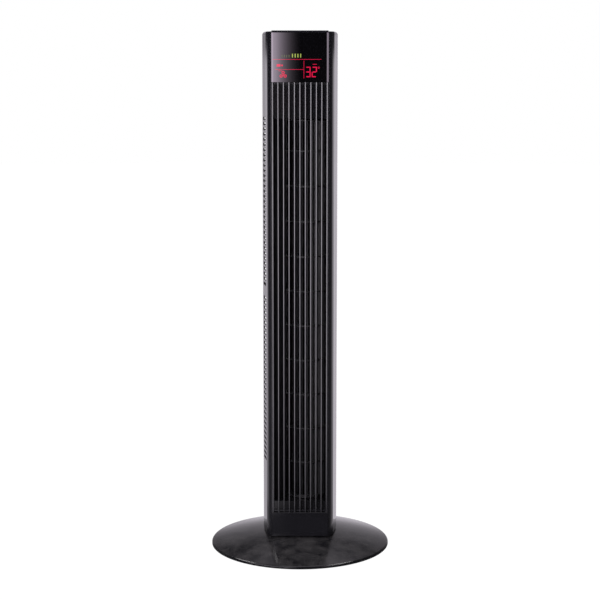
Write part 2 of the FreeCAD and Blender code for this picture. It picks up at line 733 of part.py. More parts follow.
def rear_housing():
    body = new_body("rear_housing")
    outer, outer_arcs = rear_arc("0", side_x("size.seam_depth"), "size.seam_depth")
    inner, inner_arcs = rear_arc("size.wall", side_x("size.seam_depth", "size.wall"), "size.seam_depth")
    count = len(outer)
    arcs = {edge: (radius, 1) for edge, radius in outer_arcs.items()}
    arcs.update({2 * count - 2 - edge: (radius, -1) for edge, radius in inner_arcs.items()})
    height = f"{HOUSING_TOP} - size.tower_bottom"
    pad_up(body, "Shell", "size.tower_bottom", height, outline(outer + inner[::-1], arcs))
    beyond = "-(size.half_width + size.overcut)"
    for name, bottom, rows in (("LowerSlots", "size.lower_slots", LOWER_SLOT_COUNT),
                               ("UpperSlots", "size.upper_slots", UPPER_SLOT_COUNT)):
        slot = cut_down(body, name, f"{bottom} + size.slot_height", "size.slot_height",
                        rectangle(beyond, "-size.rib_inset", "-size.slot_front", "-size.rib_front"),
                        rectangle(beyond, "size.slot_end", "size.rib_back",
                                  "size.back_depth + size.overcut"))
        repeat(body, name + "Rows", slot, "N_Axis", f"size.slot_pitch * ({rows} - 1)", rows)
    rib_back = "(size.back_depth - size.wall / 2)"
    rib_x = "-(size.half_width - size.corner_radius)"
    pad_up(body, "Rib", "size.lower_slots - size.rib_width",
           f"{DUCT_TOP_BOTTOM} - size.fit - size.lower_slots + size.rib_width",
           rectangle(rib_x, f"{rib_x} + size.rib_width", f"{rib_back} - size.rib_depth", rib_back))
    rows = (("FloorScrews", FLOOR_SCREW_Z), ("DeckScrews", DECK_SCREW_Z), ("DuctScrews", DUCT_SCREW_Z))
    for name, height in rows:
        rear_screw_holes(body, name + "Holes", height, CLEARANCE)
    cut_back(body, "GlandHole", "-(size.back_depth - 2 * size.wall)", "3 * size.wall",
             disc("0", "size.gland_height", "size.gland_barrel_radius + size.slip_gap"))


def front_frame():
    body = new_body("front_frame")
    front_x = f"({INSERT_HALF_WIDTH} + size.bezel_edge)"
    seam_x = side_x("size.seam_depth")
    vertices = [(front_x, "-size.front_depth"), (BEZEL_HALF_WIDTH, "-size.bezel_depth"),
                (seam_x, "-size.seam_depth"), (f"-{seam_x}", "-size.seam_depth"),
                (f"-{BEZEL_HALF_WIDTH}", "-size.bezel_depth"), (f"-{front_x}", "-size.front_depth")]
    pad_up(body, "Section", "size.tower_bottom", "size.frame_top - size.tower_bottom",
           outline(vertices))
    low = "size.tower_bottom - size.overcut"
    top = mm("size.frame_top")
    bezel_x = mm(BEZEL_HALF_WIDTH)

    def on_side_top(edge):
        middle = edge.CenterOfMass
        return abs(middle.z - top) < 0.01 and abs(middle.x) > bezel_x

    dress(body, "PartDesign::Fillet", "TopCorners", "Radius", "size.frame_round", on_side_top)
    cut_back(body, "InsertRecess", "size.front_depth + size.overcut",
             "size.front_depth + size.overcut - size.insert_back",
             centred(INSERT_HALF_WIDTH, low, INSERT_TOP))
    cut_back(body, "RearHollow", BACKING_BACK, f"{BACKING_BACK} - size.seam_depth + size.overcut",
             centred(HOLLOW_HALF_WIDTH, low, "size.frame_top - size.backing_thickness"))
    cut_back(body, "AirWindow", "size.insert_back + size.overcut",
             "size.backing_thickness + 2 * size.overcut",
             centred(WINDOW_HALF_WIDTH, DECK_TOP, DUCT_TOP_BOTTOM))
    cut_back(body, "DisplayWindow", "size.insert_back + size.overcut",
             "size.backing_thickness + 2 * size.overcut",
             centred(WINDOW_HALF_WIDTH, f"{LENS_BOTTOM} + size.window_margin",
                     f"{INSERT_TOP} - size.window_margin"))
    pad_up(body, "Lip", INSERT_TOP, f"{LIP_TOP} - {INSERT_TOP}",
           centred(f"{INSERT_HALF_WIDTH} - size.lip_inset", "-size.front_depth",
                   "-size.front_depth + size.lip_depth"))
    pad_forward(body, "BoardStandoffs", MAIN_BOARD_FRONT, "size.standoff_length + size.backing_thickness / 2",
                *board_corners("size.standoff_radius"))
    cut_forward(body, "BoardPilots", MAIN_BOARD_FRONT, "size.standoff_length - size.overcut",
                *board_corners(PILOT))


def insert_panel(name, front, low, high):
    """A box-shaped cover that fills part of the frame's recess, open at the back."""
    body = new_body(name)
    half = f"{INSERT_HALF_WIDTH} - size.insert_fit"
    pad_forward(body, "Block", "size.insert_back", f"{front} - size.insert_back", centred(half, low, high))
    cut_forward(body, "Hollow", "size.insert_back", f"{front} - size.insert_back - size.lens_wall",
                centred(f"{half} - size.lens_wall", f"{low} + size.lens_wall", f"{high} - size.lens_wall"))
    return body


def display_lens():
    body = insert_panel("display_lens", "size.lens_front", f"{LENS_BOTTOM} + size.insert_fit",
                        f"{INSERT_TOP} - size.insert_fit")
    front = -mm("size.lens_front")
    edge_x = mm(f"{INSERT_HALF_WIDTH} - size.insert_fit")

    def on_front_side(edge):
        middle = edge.CenterOfMass
        return abs(middle.y - front) < 0.01 and abs(abs(middle.x) - edge_x) < 0.01

    bevel = dress(body, "PartDesign::Chamfer", "SideBevels", "Size", "size.lens_bevel", on_front_side)
    bevel.ChamferType = "Two distances"
    bevel.setExpression("Size2", "size.lens_bevel / 3")


def chin_panel():
    body = insert_panel("chin_panel", "size.chin_front", "size.tower_bottom",
                        "size.chin_top - size.insert_fit")
    front = -mm("size.chin_front")
    top = mm("size.chin_top - size.insert_fit")

    def on_front_top(edge):
        middle = edge.CenterOfMass
        return abs(middle.y - front) < 0.01 and abs(middle.z - top) < 0.01

    dress(body, "PartDesign::Fillet", "TopRound", "Radius", "size.lens_wall / 2", on_front_top)


def front_grille():
    body = new_body("front_grille")
    half = f"{INSERT_HALF_WIDTH} - size.insert_fit"
    low = "size.chin_top + size.insert_fit"
    high = f"{LENS_BOTTOM} - size.insert_fit"
    inner = f"({half} - size.rail_width)"
    pad_forward(body, "Ties", "size.insert_back", "size.tie_depth", centred(half, low, high),
                centred(inner, f"{low} + size.rail_width", f"{high} - size.rail_width"))
    pad_forward(body, "Rails", "size.insert_back", "size.rail_front - size.insert_back",
                rectangle(f"-({half})", f"-{inner}", low, high), rectangle(inner, half, low, high))
    slat = pad_forward(body, "Slat", "size.insert_back", "size.slat_front - size.insert_back",
                       rectangle(f"-{SLAT_REACH} - size.slat_width / 2",
                                 f"-{SLAT_REACH} + size.slat_width / 2", low, high))
    repeat(body, "Slats", slat, "H_Axis", f"2 * {SLAT_REACH}", "size.slat_count")


def cap_outline(inset):
    front = f"(size.seam_depth - size.fit / 2 - {inset})"
    vertices, radii = rear_arc(inset, side_x(front, inset), front)
    return outline(vertices, {edge: (radius, 1) for edge, radius in radii.items()})


def button_places():
    return [f"{number} * size.button_pitch" for number in (-2, -1, 0, 1, 2)]


def control_posts(radius):
    across = f"({CONTROL_BOARD_HALF_WIDTH} - size.board_screw_inset)"
    along = "(size.control_board_half_depth - size.board_screw_inset)"
    return [disc(f"{x} * {across}", f"size.button_row + {y} * {along}", radius)
            for x in (-1, 1) for y in (-1, 1)]


def top_cap():
    body = new_body("top_cap")
    pad_up(body, "Plate", HOUSING_TOP, "size.cap_height", cap_outline("0"))
    top = mm(CAP_TOP)
    front = mm("-size.seam_depth + size.fit")

    def on_rim(edge):
        middle = edge.CenterOfMass
        return abs(middle.z - top) < 0.01 and middle.y > front

    dress(body, "PartDesign::Fillet", "RimRound", "Radius", "size.cap_round", on_rim)
    feature(body, "PartDesign::Pocket", "Hollow", "XY_Plane", HOUSING_TOP, "size.cap_height - size.wall",
            [cap_outline("(size.wall + size.fit)")], backwards=True)
    pad_up(body, "Posts", CONTROL_BOARD_TOP, f"{CAP_UNDERSIDE} + size.wall / 2 - {CONTROL_BOARD_TOP}",
           *control_posts("size.standoff_radius"))
    feature(body, "PartDesign::Pocket", "PostPilots", "XY_Plane", CONTROL_BOARD_TOP, "size.pilot_depth",
            control_posts(PILOT), backwards=True)
    cut_down(body, "ButtonHoles", CAP_TOP, "size.cap_height",
             *[disc(x, "size.button_row", "size.button_radius + size.button_gap") for x in button_places()])


# ---------------------------------------------------------------- controls and display

def buttons():
    flange_top = f"({CAP_UNDERSIDE} - size.button_gap)"
    flange_bottom = f"({flange_top} - size.button_flange_thickness)"
    names = ("power_button", "speed_button", "mode_button", "timer_button", "swing_button")
    for name, x in zip(names, button_places()):
        body = new_body(name)
        pad_up(body, "Stem", STEM_BOTTOM, f"{flange_bottom} - {STEM_BOTTOM}",
               disc(x, "size.button_row", "size.button_stem_radius"))
        pad_up(body, "Flange", flange_bottom, "size.button_flange_thickness",
               disc(x, "size.button_row", "size.button_radius + size.button_flange"))
        pad_up(body, "Cap", flange_top, f"{CAP_TOP} + size.button_proud - {flange_top}",
               disc(x, "size.button_row", "size.button_radius"))


def control_electronics():
    board = new_body("control_board")
    pad_up(board, "Board", CONTROL_BOARD_BOTTOM, "size.board_thickness",
           centred(CONTROL_BOARD_HALF_WIDTH, "size.button_row - size.control_board_half_depth",
                   "size.button_row + size.control_board_half_depth"))
    cut_down(board, "Holes", CONTROL_BOARD_TOP, "size.board_thickness",
             *control_posts(CLEARANCE))
    switches = new_body("button_switches")
    half = "size.switch_width / 2"
    pad_up(switches, "Cases", CONTROL_BOARD_TOP, "size.switch_height",
           *[rectangle(f"{x} - {half}", f"{x} + {half}",
                       f"size.button_row - {half}", f"size.button_row + {half}") for x in button_places()])
    pad_up(switches, "Plungers", f"{CONTROL_BOARD_TOP} + size.switch_height", "size.plunger_height",
           *[disc(x, "size.button_row", "size.plunger_radius") for x in button_places()])
    screws_up("control_board_screws", CONTROL_BOARD_BOTTOM,
              "size.board_thickness + size.board_screw_bite", control_posts)


def display_electronics():
    board = new_body("display_board")
    margin = "(size.window_margin - size.display_board_margin)"
    pad_forward(board, "Board", f"{BACKING_BACK} - size.board_thickness", "size.board_thickness",
                centred(f"{WINDOW_HALF_WIDTH} + size.display_board_margin", f"{LENS_BOTTOM} + {margin}",
                        f"{INSERT_TOP} - {margin}"))
    module = new_body("display_module")
    bottom = f"({LENS_BOTTOM} + size.window_margin + size.display_module_gap)"
    pad_forward(module, "Case", BACKING_BACK,
                f"size.lens_front - size.lens_wall - size.display_module_gap - {BACKING_BACK}",
                centred(f"{WINDOW_HALF_WIDTH} - size.display_module_inset", bottom,
                        f"{bottom} + size.display_module_height"))


def digit_segments(left, lit):
    """The lit segments of one seven-segment digit, as rectangles that don't touch."""
    stroke = "size.digit_stroke"
    right = f"({left} + size.digit_width)"
    low = DIGIT_BOTTOM
    middle = f"({low} + size.digit_height / 2)"
    high = f"({low} + size.digit_height)"
    gap = "size.segment_gap"
    across = (f"{left} + {stroke}", f"{right} - {stroke}")
    lower = (f"{low} + {gap}", f"{middle} - {gap}")
    upper = (f"{middle} + {gap}", f"{high} - {gap}")
    segments = {
        "top": (*across, f"{high} - {stroke}", high),
        "middle": (*across, f"{middle} - {stroke} / 2", f"{middle} + {stroke} / 2"),
        "bottom": (*across, low, f"{low} + {stroke}"),
        "upper_left": (left, f"{left} + {stroke} - {gap}", *upper),
        "upper_right": (f"{right} - {stroke} + {gap}", right, *upper),
        "lower_left": (left, f"{left} + {stroke} - {gap}", *lower),
        "lower_right": (f"{right} - {stroke} + {gap}", right, *lower),
    }
    return [rectangle(*segments[name]) for name in lit]


def display_graphic(name, *shapes):
    """A lit mark that stands just proud of the lens."""
    pad_forward(new_body(name), "Mark", "size.lens_front", "size.graphic_thickness", *shapes)


def display_graphics():
    three = digit_segments("size.digit_left", ("top", "middle", "bottom", "upper_right", "lower_right"))
    two = digit_segments("(size.digit_left + size.digit_width + size.digit_gap)",
                         ("top", "middle", "bottom", "upper_right", "lower_left"))
    degree = [disc(f"{DIGITS_RIGHT} + size.degree_gap", f"{DIGIT_TOP} - size.degree_radius", radius)
              for radius in ("size.degree_radius", "size.degree_radius - size.degree_wall")]
    dash_bottom = f"{DIGIT_TOP} + size.dash_lift"
    dash = rectangle(f"{DIGITS_RIGHT} - size.dash_length", DIGITS_RIGHT, dash_bottom,
                     f"{dash_bottom} + size.dash_thickness")
    display_graphic("display_digits", *three, *two, *degree, dash)
    half = "size.rule_thickness / 2"
    column = "size.rule_column"
    display_graphic("display_rules",
                    rectangle("size.rule_left", "size.rule_right",
                              f"{RULE_TOP} - {half}", f"{RULE_TOP} + {half}"),
                    rectangle(f"{column} - {half}", f"{column} + {half}",
                              f"{DIGIT_BOTTOM} - size.rule_gap", f"{RULE_TOP} - size.rule_gap"),
                    rectangle("size.rule_middle_left", f"{column} - {half} - size.segment_gap",
                              f"{RULE_MIDDLE} - {half}", f"{RULE_MIDDLE} + {half}"))
    for name, bar in (("display_dim_bars", "size.dim_bar"), ("display_lit_bars", "size.bar")):
        lefts = [f"({bar}_first + {number} * {bar}_pitch)" for number in range(4)]
        bar_top = f"{BAR_BOTTOM} + {bar}_height"
        display_graphic(name, *[rectangle(left, f"{left} + {bar}_width", BAR_BOTTOM, bar_top)
                                for left in lefts])
    blades = [blade for radius in ("size.icon_blade_radius", "size.icon_blade_hole")
              for blade in around(3, "size.icon_reach", radius, "size.icon_x", ICON_Z, 90.0)]
    mode_bottom = f"({LENS_BOTTOM} + size.mode_lift)"
    mode_right = "(size.mode_left + size.mode_width)"
    dash_bottom = f"({LENS_BOTTOM} + size.mode_dash_lift)"
    display_graphic("display_fan_icon", *blades, disc("size.icon_x", ICON_Z, "size.icon_hub_radius"),
                    rectangle("size.mode_left", mode_right, mode_bottom, f"{mode_bottom} + size.mode_height"),
                    disc(f"{mode_right} + size.mode_dot_gap", f"{mode_bottom} + size.mode_height / 2",
                         "size.mode_dot_radius"),
                    rectangle(f"{mode_right} - size.mode_width / 2", f"{mode_right} + size.mode_dot_gap",
                              dash_bottom, f"{dash_bottom} + size.mode_dash_height"))


def board_corners(radius):
    """The main board's four screw places, in X and Z."""
    across = "(size.main_board_half_width - size.board_screw_inset)"
    low = "(size.main_board_bottom + size.board_screw_inset)"
    high = "(size.main_board_bottom + size.main_board_height - size.board_screw_inset)"
    return [disc(f"{side} * {across}", height, radius) for side in (-1, 1) for height in (low, high)]


def main_board():
    body = new_body("main_board")
    top = "size.main_board_bottom + size.main_board_height"
    pad_forward(body, "Board", f"{MAIN_BOARD_FRONT} - size.board_thickness", "size.board_thickness",
                centred("size.main_board_half_width", "size.main_board_bottom", top))
    cut_back(body, "Holes", MAIN_BOARD_FRONT, "size.board_thickness",
             *board_corners(CLEARANCE))
    parts = new_body("main_board_parts")
    middle = "(size.main_board_bottom + size.main_board_height / 2)"
    half_spacing = "size.capacitor_spacing / 2"
    pad_forward(parts, "TallParts", MAIN_BOARD_FRONT, "size.tall_part_height",
                block_about("size.transformer_x", middle,
                            "size.transformer_width", "size.transformer_height"),
                disc("size.capacitor_x", f"{middle} + {half_spacing}", "size.capacitor_radius"),
                disc("size.capacitor_x", f"{middle} - {half_spacing}", "size.capacitor_radius"),
                disc("size.coil_x", middle, "size.coil_radius"))
    pad_forward(parts, "Connector", MAIN_BOARD_FRONT, "size.connector_depth",
                block_about("size.connector_x", middle, "size.connector_width", "size.connector_height"))
    screws = new_body("main_board_screws")
    behind = f"({MAIN_BOARD_FRONT} - size.board_thickness)"
    pad_forward(screws, "Heads", f"{behind} - size.screw_head_height", "size.screw_head_height",
                *board_corners("size.screw_head_radius"))
    pad_forward(screws, "Shanks", behind, "size.board_thickness + size.board_screw_bite",
                *board_corners("size.screw_radius"))


# ---------------------------------------------------------------- air duct and impeller

def duct_walls():
    height = f"{DUCT_TOP_BOTTOM} - {DECK_TOP}"
    front = f"-({BACKING_BACK} - size.fit)"
    outer = f"({DUCT_RADIUS} + size.duct_wall)"
    end = "size.duct_end_angle"
    start_x = f"({HOLLOW_HALF_WIDTH} - size.duct_start_inset)"
    scroll = new_body("scroll_wall")
    ends = [(f"size.impeller_x + {radius} * cos({end})", f"size.impeller_y + {radius} * sin({end})")
            for radius in (outer, DUCT_RADIUS)]
    vertices = [(f"{start_x} - size.duct_wall", front), (start_x, front),
                (f"size.impeller_x + {outer}", "size.impeller_y"), *ends,
                (f"size.impeller_x + {DUCT_RADIUS}", "size.impeller_y")]
    pad_up(scroll, "Wall", DECK_TOP, height, outline(vertices, {2: (outer, 1), 4: (DUCT_RADIUS, -1)}))
    tongue = new_body("stabiliser")
    left = f"({HOLLOW_HALF_WIDTH} - 2 * size.fit)"
    tips = [(f"size.impeller_x - {DUCT_RADIUS} * cos({angle})",
             f"size.impeller_y - {DUCT_RADIUS} * sin({angle})")
            for angle in ("size.tongue_end_angle", "size.tongue_start_angle")]
    pad_up(tongue, "Wall", DECK_TOP, height,
           outline([(f"-{left}", front), (f"-{left} + 2 * size.duct_wall", front), *tips],
                   {2: ("size.tongue_round", 1)}))


def motor_places(radius):
    return around(4, MOTOR_LUG_CIRCLE, radius, "size.impeller_x", "size.impeller_y", 45.0)


def on_axis(radius):
    """A disc about the impeller's axis."""
    return disc("size.impeller_x", "size.impeller_y", radius)


def motor_deck():
    body = new_body("motor_deck")
    pad_up(body, "Plate", "size.deck_bottom", "size.deck_thickness", plate_outline("(size.wall + size.fit)"))
    cut_down(body, "ShaftHole", DECK_TOP, "size.deck_thickness",
             on_axis("size.shaft_radius + size.duct_wall"))
    cut_down(body, "MotorHoles", DECK_TOP, "size.deck_thickness", *motor_places(PILOT))
    rear_block(body, "RearBlock", "size.deck_bottom - size.block_height")
    rear_screw_holes(body, "RearPilots", DECK_SCREW_Z, PILOT)


def duct_top():
    body = new_body("duct_top")
    pad_up(body, "Plate", DUCT_TOP_BOTTOM, "size.duct_top_thickness", plate_outline("(size.wall + size.fit)"))
    bore = "(size.shaft_radius + size.running_gap + size.bearing_wall + size.slip_gap)"
    pad_up(body, "Boss", DUCT_TOP_BOTTOM, "size.bearing_height", on_axis(f"{bore} + size.wall"))
    cut_down(body, "BearingHole", f"{DUCT_TOP_BOTTOM} + size.bearing_height", "size.bearing_height",
             on_axis(bore))
    rear_block(body, "RearBlock", DUCT_TOP_TOP)
    rear_screw_holes(body, "RearPilots", DUCT_SCREW_Z, PILOT)
    bearing = new_body("upper_bearing")
    pad_up(bearing, "Bush", DUCT_TOP_BOTTOM, "size.bearing_height",
           on_axis("size.shaft_radius + size.running_gap + size.bearing_wall"),
           on_axis("size.shaft_radius + size.running_gap"))


def rear_screws():
    body = new_body("rear_screws")
    places = [(f"{side} * size.rear_screw_spacing / 2", height)
              for side in (-1, 1) for height in (FLOOR_SCREW_Z, DECK_SCREW_Z, DUCT_SCREW_Z)]
    outside = "-(size.back_depth + size.screw_head_height)"
    pad_forward(body, "Heads", outside, "size.screw_head_height",
                *[disc(x, z, "size.screw_head_radius") for x, z in places])
    pad_forward(body, "Shanks", "-size.back_depth", "size.rear_screw_length",
                *[disc(x, z, "size.screw_radius") for x, z in places])


def impeller_drum():
    body = new_body("impeller_drum")
    body.setExpression("Placement.Base.x", "size.impeller_x")
    body.setExpression("Placement.Base.y", "size.impeller_y")
    inner = BLADE_INNER_RADIUS
    tip = f"({IMPELLER_RADIUS} - size.blade_thickness / 2)"
    half = "size.blade_thickness / 2"
    sweep = "size.blade_sweep"
    blade = [(inner, f"-({half})"), (f"{tip} * cos({sweep})", f"{tip} * sin({sweep}) - {half}"),
             (f"{tip} * cos({sweep})", f"{tip} * sin({sweep}) + {half}"), (inner, half)]
    pad = pad_up(body, "Blade", "size.impeller_bottom + size.ring_thickness / 2",
                 f"{IMPELLER_TOP} - size.impeller_bottom - size.ring_thickness / 2",
                 outline(blade, {0: ("size.blade_curve", 1), 2: ("size.blade_curve", -1)}))
    blades = body.newObject("PartDesign::PolarPattern", "Blades")
    blades.Originals = [pad]
    blades.Axis = (pad.Profile[0], ["N_Axis"])
    blades.Angle = 360
    blades.setExpression("Occurrences", "size.blade_count")
    body.Tip = blades
    ring = pad_up(body, "Ring", "size.impeller_bottom", "size.ring_thickness",
                  disc("0", "0", IMPELLER_RADIUS), disc("0", "0", f"{inner} - size.blade_thickness"))
    repeat(body, "Rings", ring, "N_Axis", f"size.ring_pitch * ({RING_COUNT} - 1)", RING_COUNT)


def impeller_ends():
    lower = new_body("impeller_lower_hub")
    bore = "size.shaft_radius + size.slip_gap"
    pad_up(lower, "Disc", HUB_BOTTOM, "size.end_disc_thickness", on_axis(IMPELLER_RADIUS), on_axis(bore))
    pad_up(lower, "Hub", HUB_BOTTOM, "size.hub_height", on_axis("size.hub_radius"), on_axis(bore))
    screw_z = f"({HUB_BOTTOM} + size.hub_height - size.hub_radius / 2)"
    cut_back(lower, "ScrewHole", "-size.impeller_y + size.hub_radius + size.overcut",
             "size.hub_radius + size.overcut", disc("size.impeller_x", screw_z, PILOT))
    screw = new_body("coupling_screw")
    pad_forward(screw, "Shank", "-size.impeller_y + size.shaft_radius + size.slip_gap",
                "size.hub_radius - size.shaft_radius - size.slip_gap",
                disc("size.impeller_x", screw_z, "size.screw_radius"))
    upper = new_body("impeller_top_disc")
    pad_up(upper, "Disc", IMPELLER_TOP, "size.end_disc_thickness",
           on_axis(IMPELLER_RADIUS), on_axis(bore))
    stub = new_body("impeller_top_shaft")
    pad_up(stub, "Shaft", IMPELLER_TOP, f"{DUCT_TOP_BOTTOM} + size.bearing_height - {IMPELLER_TOP}",
           on_axis("size.shaft_radius"))


# ---------------------------------------------------------------- fan motor and swing motor

def fan_motor():
    can = new_body("motor_can")
    pad_up(can, "Cylinder", "size.motor_bottom", "size.motor_can_height", on_axis("size.motor_radius"))
    cut_down(can, "Inside", MOTOR_CAN_TOP, "size.motor_can_height - size.motor_wall",
             on_axis("size.motor_radius - size.motor_wall"))
    cut_down(can, "ShaftBore", "size.motor_bottom + size.motor_wall", "size.motor_wall",
             on_axis("size.shaft_radius + size.running_gap"))
    cap = new_body("motor_cap")
    pad_up(cap, "Lid", MOTOR_CAN_TOP, "size.motor_cap_thickness", on_axis("size.motor_radius"))
    pad_up(cap, "Lugs", MOTOR_CAN_TOP, "size.motor_cap_thickness", *motor_places("size.motor_lug_radius"))
    cut_down(cap, "ShaftBore", MOTOR_CAP_TOP, "size.motor_cap_thickness",
             on_axis("size.shaft_radius + size.running_gap"))
    cut_down(cap, "ScrewHoles", MOTOR_CAP_TOP, "size.motor_cap_thickness",
             *motor_places(CLEARANCE))
    stator = new_body("motor_stator")
    pad_up(stator, "Core", "size.stator_bottom", "size.stator_height",
           on_axis("size.motor_radius - size.motor_wall - size.slip_gap"),
           on_axis("size.stator_inner_radius"))
    rotor = new_body("motor_rotor")
    pad_up(rotor, "Core", "size.stator_bottom", "size.stator_height",
           on_axis("size.stator_inner_radius - size.rotor_gap"), on_axis("size.shaft_radius + size.slip_gap"))
    shaft = new_body("motor_shaft")
    pad_up(shaft, "Shaft", "size.motor_bottom + size.motor_wall / 2",
           f"{HUB_BOTTOM} + size.hub_height - size.wall - size.motor_bottom - size.motor_wall / 2",
           on_axis("size.shaft_radius"))
    dampers = new_body("motor_dampers")
    pad_up(dampers, "Sleeves", MOTOR_CAP_TOP, f"size.deck_bottom - {MOTOR_CAP_TOP}",
           *motor_places("size.motor_lug_radius"), *motor_places(CLEARANCE))
    screws_up("motor_screws", MOTOR_CAN_TOP, f"{DECK_TOP} - size.screw_tip_gap - {MOTOR_CAN_TOP}",
              motor_places)


def swing_ears(radius):
    """The two ears of the swing motor, on either side of it and square to the line from the pivot."""
    return [disc(f"{SWING_MOTOR_X} - {side} * size.swing_ear_reach * sin(size.pinion_angle)",
                 f"{SWING_MOTOR_Y} + {side} * size.swing_ear_reach * cos(size.pinion_angle)", radius)
            for side in (-1, 1)]


def swing_motor():
    body = new_body("swing_motor")
    nose = "size.swing_shaft_radius + size.swing_nose_wall"
    pad_up(body, "Can", SWING_MOTOR_BOTTOM, "size.swing_motor_height",
           disc(SWING_MOTOR_X, SWING_MOTOR_Y, "size.swing_motor_radius"))
    pad_up(body, "Nose", f"{SWING_MOTOR_BOTTOM} - size.swing_nose_height",
           "size.swing_nose_height + size.swing_ear_thickness", disc(PINION_X, PINION_Y, nose))
    for name, ear in zip(("FirstEar", "SecondEar"), swing_ears("size.swing_ear_radius + size.swing_ear_rim")):
        pad_up(body, name, SWING_MOTOR_BOTTOM, "size.swing_ear_thickness", ear)
    cut_down(body, "EarHoles", f"{SWING_MOTOR_BOTTOM} + size.swing_ear_thickness", "size.swing_ear_thickness",
             *swing_ears(CLEARANCE))
    shaft_top = f"({SWING_MOTOR_BOTTOM} + size.swing_shaft_depth)"
    cut_down(body, "ShaftBore", f"{shaft_top} + size.slip_gap",
             "size.swing_shaft_depth + size.slip_gap + size.swing_nose_height",
             disc(PINION_X, PINION_Y, "size.swing_shaft_radius + size.running_gap"))
    shaft = new_body("swing_motor_shaft")
    pad_up(shaft, "Shaft", PINION_BOTTOM, f"{shaft_top} - {PINION_BOTTOM}",
           disc(PINION_X, PINION_Y, "size.swing_shaft_radius"))
    screws = new_body("swing_motor_screws")
    ear_top = f"({SWING_MOTOR_BOTTOM} + size.swing_ear_thickness)"
    pad_up(screws, "Heads", ear_top, "size.screw_head_height", *swing_ears("size.swing_screw_head_radius"))
    pad_up(screws, "Shanks", f"{ear_top} - size.swing_screw_length", "size.swing_screw_length",
           *swing_ears("size.screw_radius"))


def cord_gland():
    body = new_body("cord_gland")
    middle = ("0", "size.gland_height")
    outside = "-(size.back_depth + size.gland_flange_thickness)"
    through = "size.wall + 2 * size.gland_flange_thickness"
    pad_forward(body, "Flange", outside, "size.gland_flange_thickness",
                disc(*middle, "size.gland_flange_radius"))
    pad_forward(body, "Barrel", outside, through, disc(*middle, "size.gland_barrel_radius"))
    pad_forward(body, "InnerFlange", "-(size.back_depth - size.wall)", "size.gland_flange_thickness",
                disc(*middle, "size.gland_flange_radius"))
    cut_forward(body, "Bore", outside, through, disc(*middle, "size.gland_bore_radius"))


def build():
    base_plate()
    base_cover()
    rubber_feet()
    base_fasteners()
    pivot_spindle()
    thrust_washer()
    swing_gears()
    spindle_nut()
    tower_floor()
    swivel_bush()
    rear_housing()
    front_frame()
    display_lens()
    chin_panel()
    front_grille()
    top_cap()
    buttons()
    control_electronics()
    display_electronics()
    display_graphics()
    main_board()
    duct_walls()
    motor_deck()
    duct_top()
    rear_screws()
    impeller_drum()
    impeller_ends()
    fan_motor()
    swing_motor()
    cord_gland()
    doc.recompute()


def check():
    """Stops if any object failed or any sub-part has no valid solid."""
    for item in doc.Objects:
        if {"Invalid", "Error"} & set(item.State):
            raise RuntimeError(f"{item.Name} ({item.Label}) failed: {item.State}")
    for node in nodes:
        if node.Shape.isNull() or not node.Shape.isValid() or not node.Shape.Solids:
            raise RuntimeError(f"{node.Label} has no valid solid")


def write():
    os.makedirs("parts", exist_ok=True)
    for node in nodes:
        node.Shape.exportStep(f"parts/{node.Label}.step")
        print(f"{node.Label}: {len(node.Shape.Solids)} solids, {node.Shape.Volume:.0f} mm3")


build()
check()
write()
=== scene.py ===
import json
import math

import bmesh
import bpy
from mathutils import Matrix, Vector

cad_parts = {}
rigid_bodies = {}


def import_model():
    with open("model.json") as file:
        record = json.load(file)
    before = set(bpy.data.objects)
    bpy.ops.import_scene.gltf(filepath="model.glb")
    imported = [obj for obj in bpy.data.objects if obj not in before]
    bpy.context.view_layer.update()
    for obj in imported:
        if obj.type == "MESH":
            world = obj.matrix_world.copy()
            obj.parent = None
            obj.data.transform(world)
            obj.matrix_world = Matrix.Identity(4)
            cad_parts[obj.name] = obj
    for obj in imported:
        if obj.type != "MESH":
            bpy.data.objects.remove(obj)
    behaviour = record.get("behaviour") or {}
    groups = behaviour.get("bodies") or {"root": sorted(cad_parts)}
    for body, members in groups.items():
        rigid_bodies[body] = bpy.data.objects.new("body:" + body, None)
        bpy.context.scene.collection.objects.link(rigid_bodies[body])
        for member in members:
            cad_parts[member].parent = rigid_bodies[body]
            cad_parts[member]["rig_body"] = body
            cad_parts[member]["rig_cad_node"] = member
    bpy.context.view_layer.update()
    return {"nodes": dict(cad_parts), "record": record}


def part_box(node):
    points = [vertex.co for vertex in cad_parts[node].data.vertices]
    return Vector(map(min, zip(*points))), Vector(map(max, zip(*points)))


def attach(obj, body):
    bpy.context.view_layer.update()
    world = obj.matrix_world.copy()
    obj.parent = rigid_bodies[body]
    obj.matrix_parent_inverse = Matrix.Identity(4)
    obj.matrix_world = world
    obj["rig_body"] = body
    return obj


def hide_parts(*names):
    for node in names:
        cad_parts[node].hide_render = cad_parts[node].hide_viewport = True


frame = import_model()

bl_info = {
    "name": "Tower Fan",
    "version": (1, 0, 0),
    "blender": (4, 5, 0),
    "location": "View3D > Sidebar > Tower Fan",
    "description": "Builds the visible pieces of a tower fan on its round base, with its finishes and studio",
    "category": "Object",
}

MM = 0.001
NEAR = 0.1 * MM
SNAP = 0.02 * MM
X, Y, Z = 0, 1, 2

WHITE = (1.0, 1.0, 1.0, 1.0)
DUST_AND_PAINTED_LIGHT_COLOUR = (0.30, 0.29, 0.28, 1.0)
TIN_COLOUR = (0.62, 0.61, 0.58, 1.0)
STUDIO_TINT = (0.97, 0.915, 1.0, 1.0)
SOFTBOX_TINT = (1.0, 0.98, 1.0)


# ---------------------------------------------------------------- sizes and colours a user may change

def length(name, description, value):
    return bpy.props.FloatProperty(name=name, description=description, default=value * MM, min=0.0,
                                   subtype="DISTANCE", unit="LENGTH", precision=5)


def colour(name, description, value):
    return bpy.props.FloatVectorProperty(name=name, description=description, default=value, size=3,
                                         min=0.0, max=1.0, subtype="COLOR")


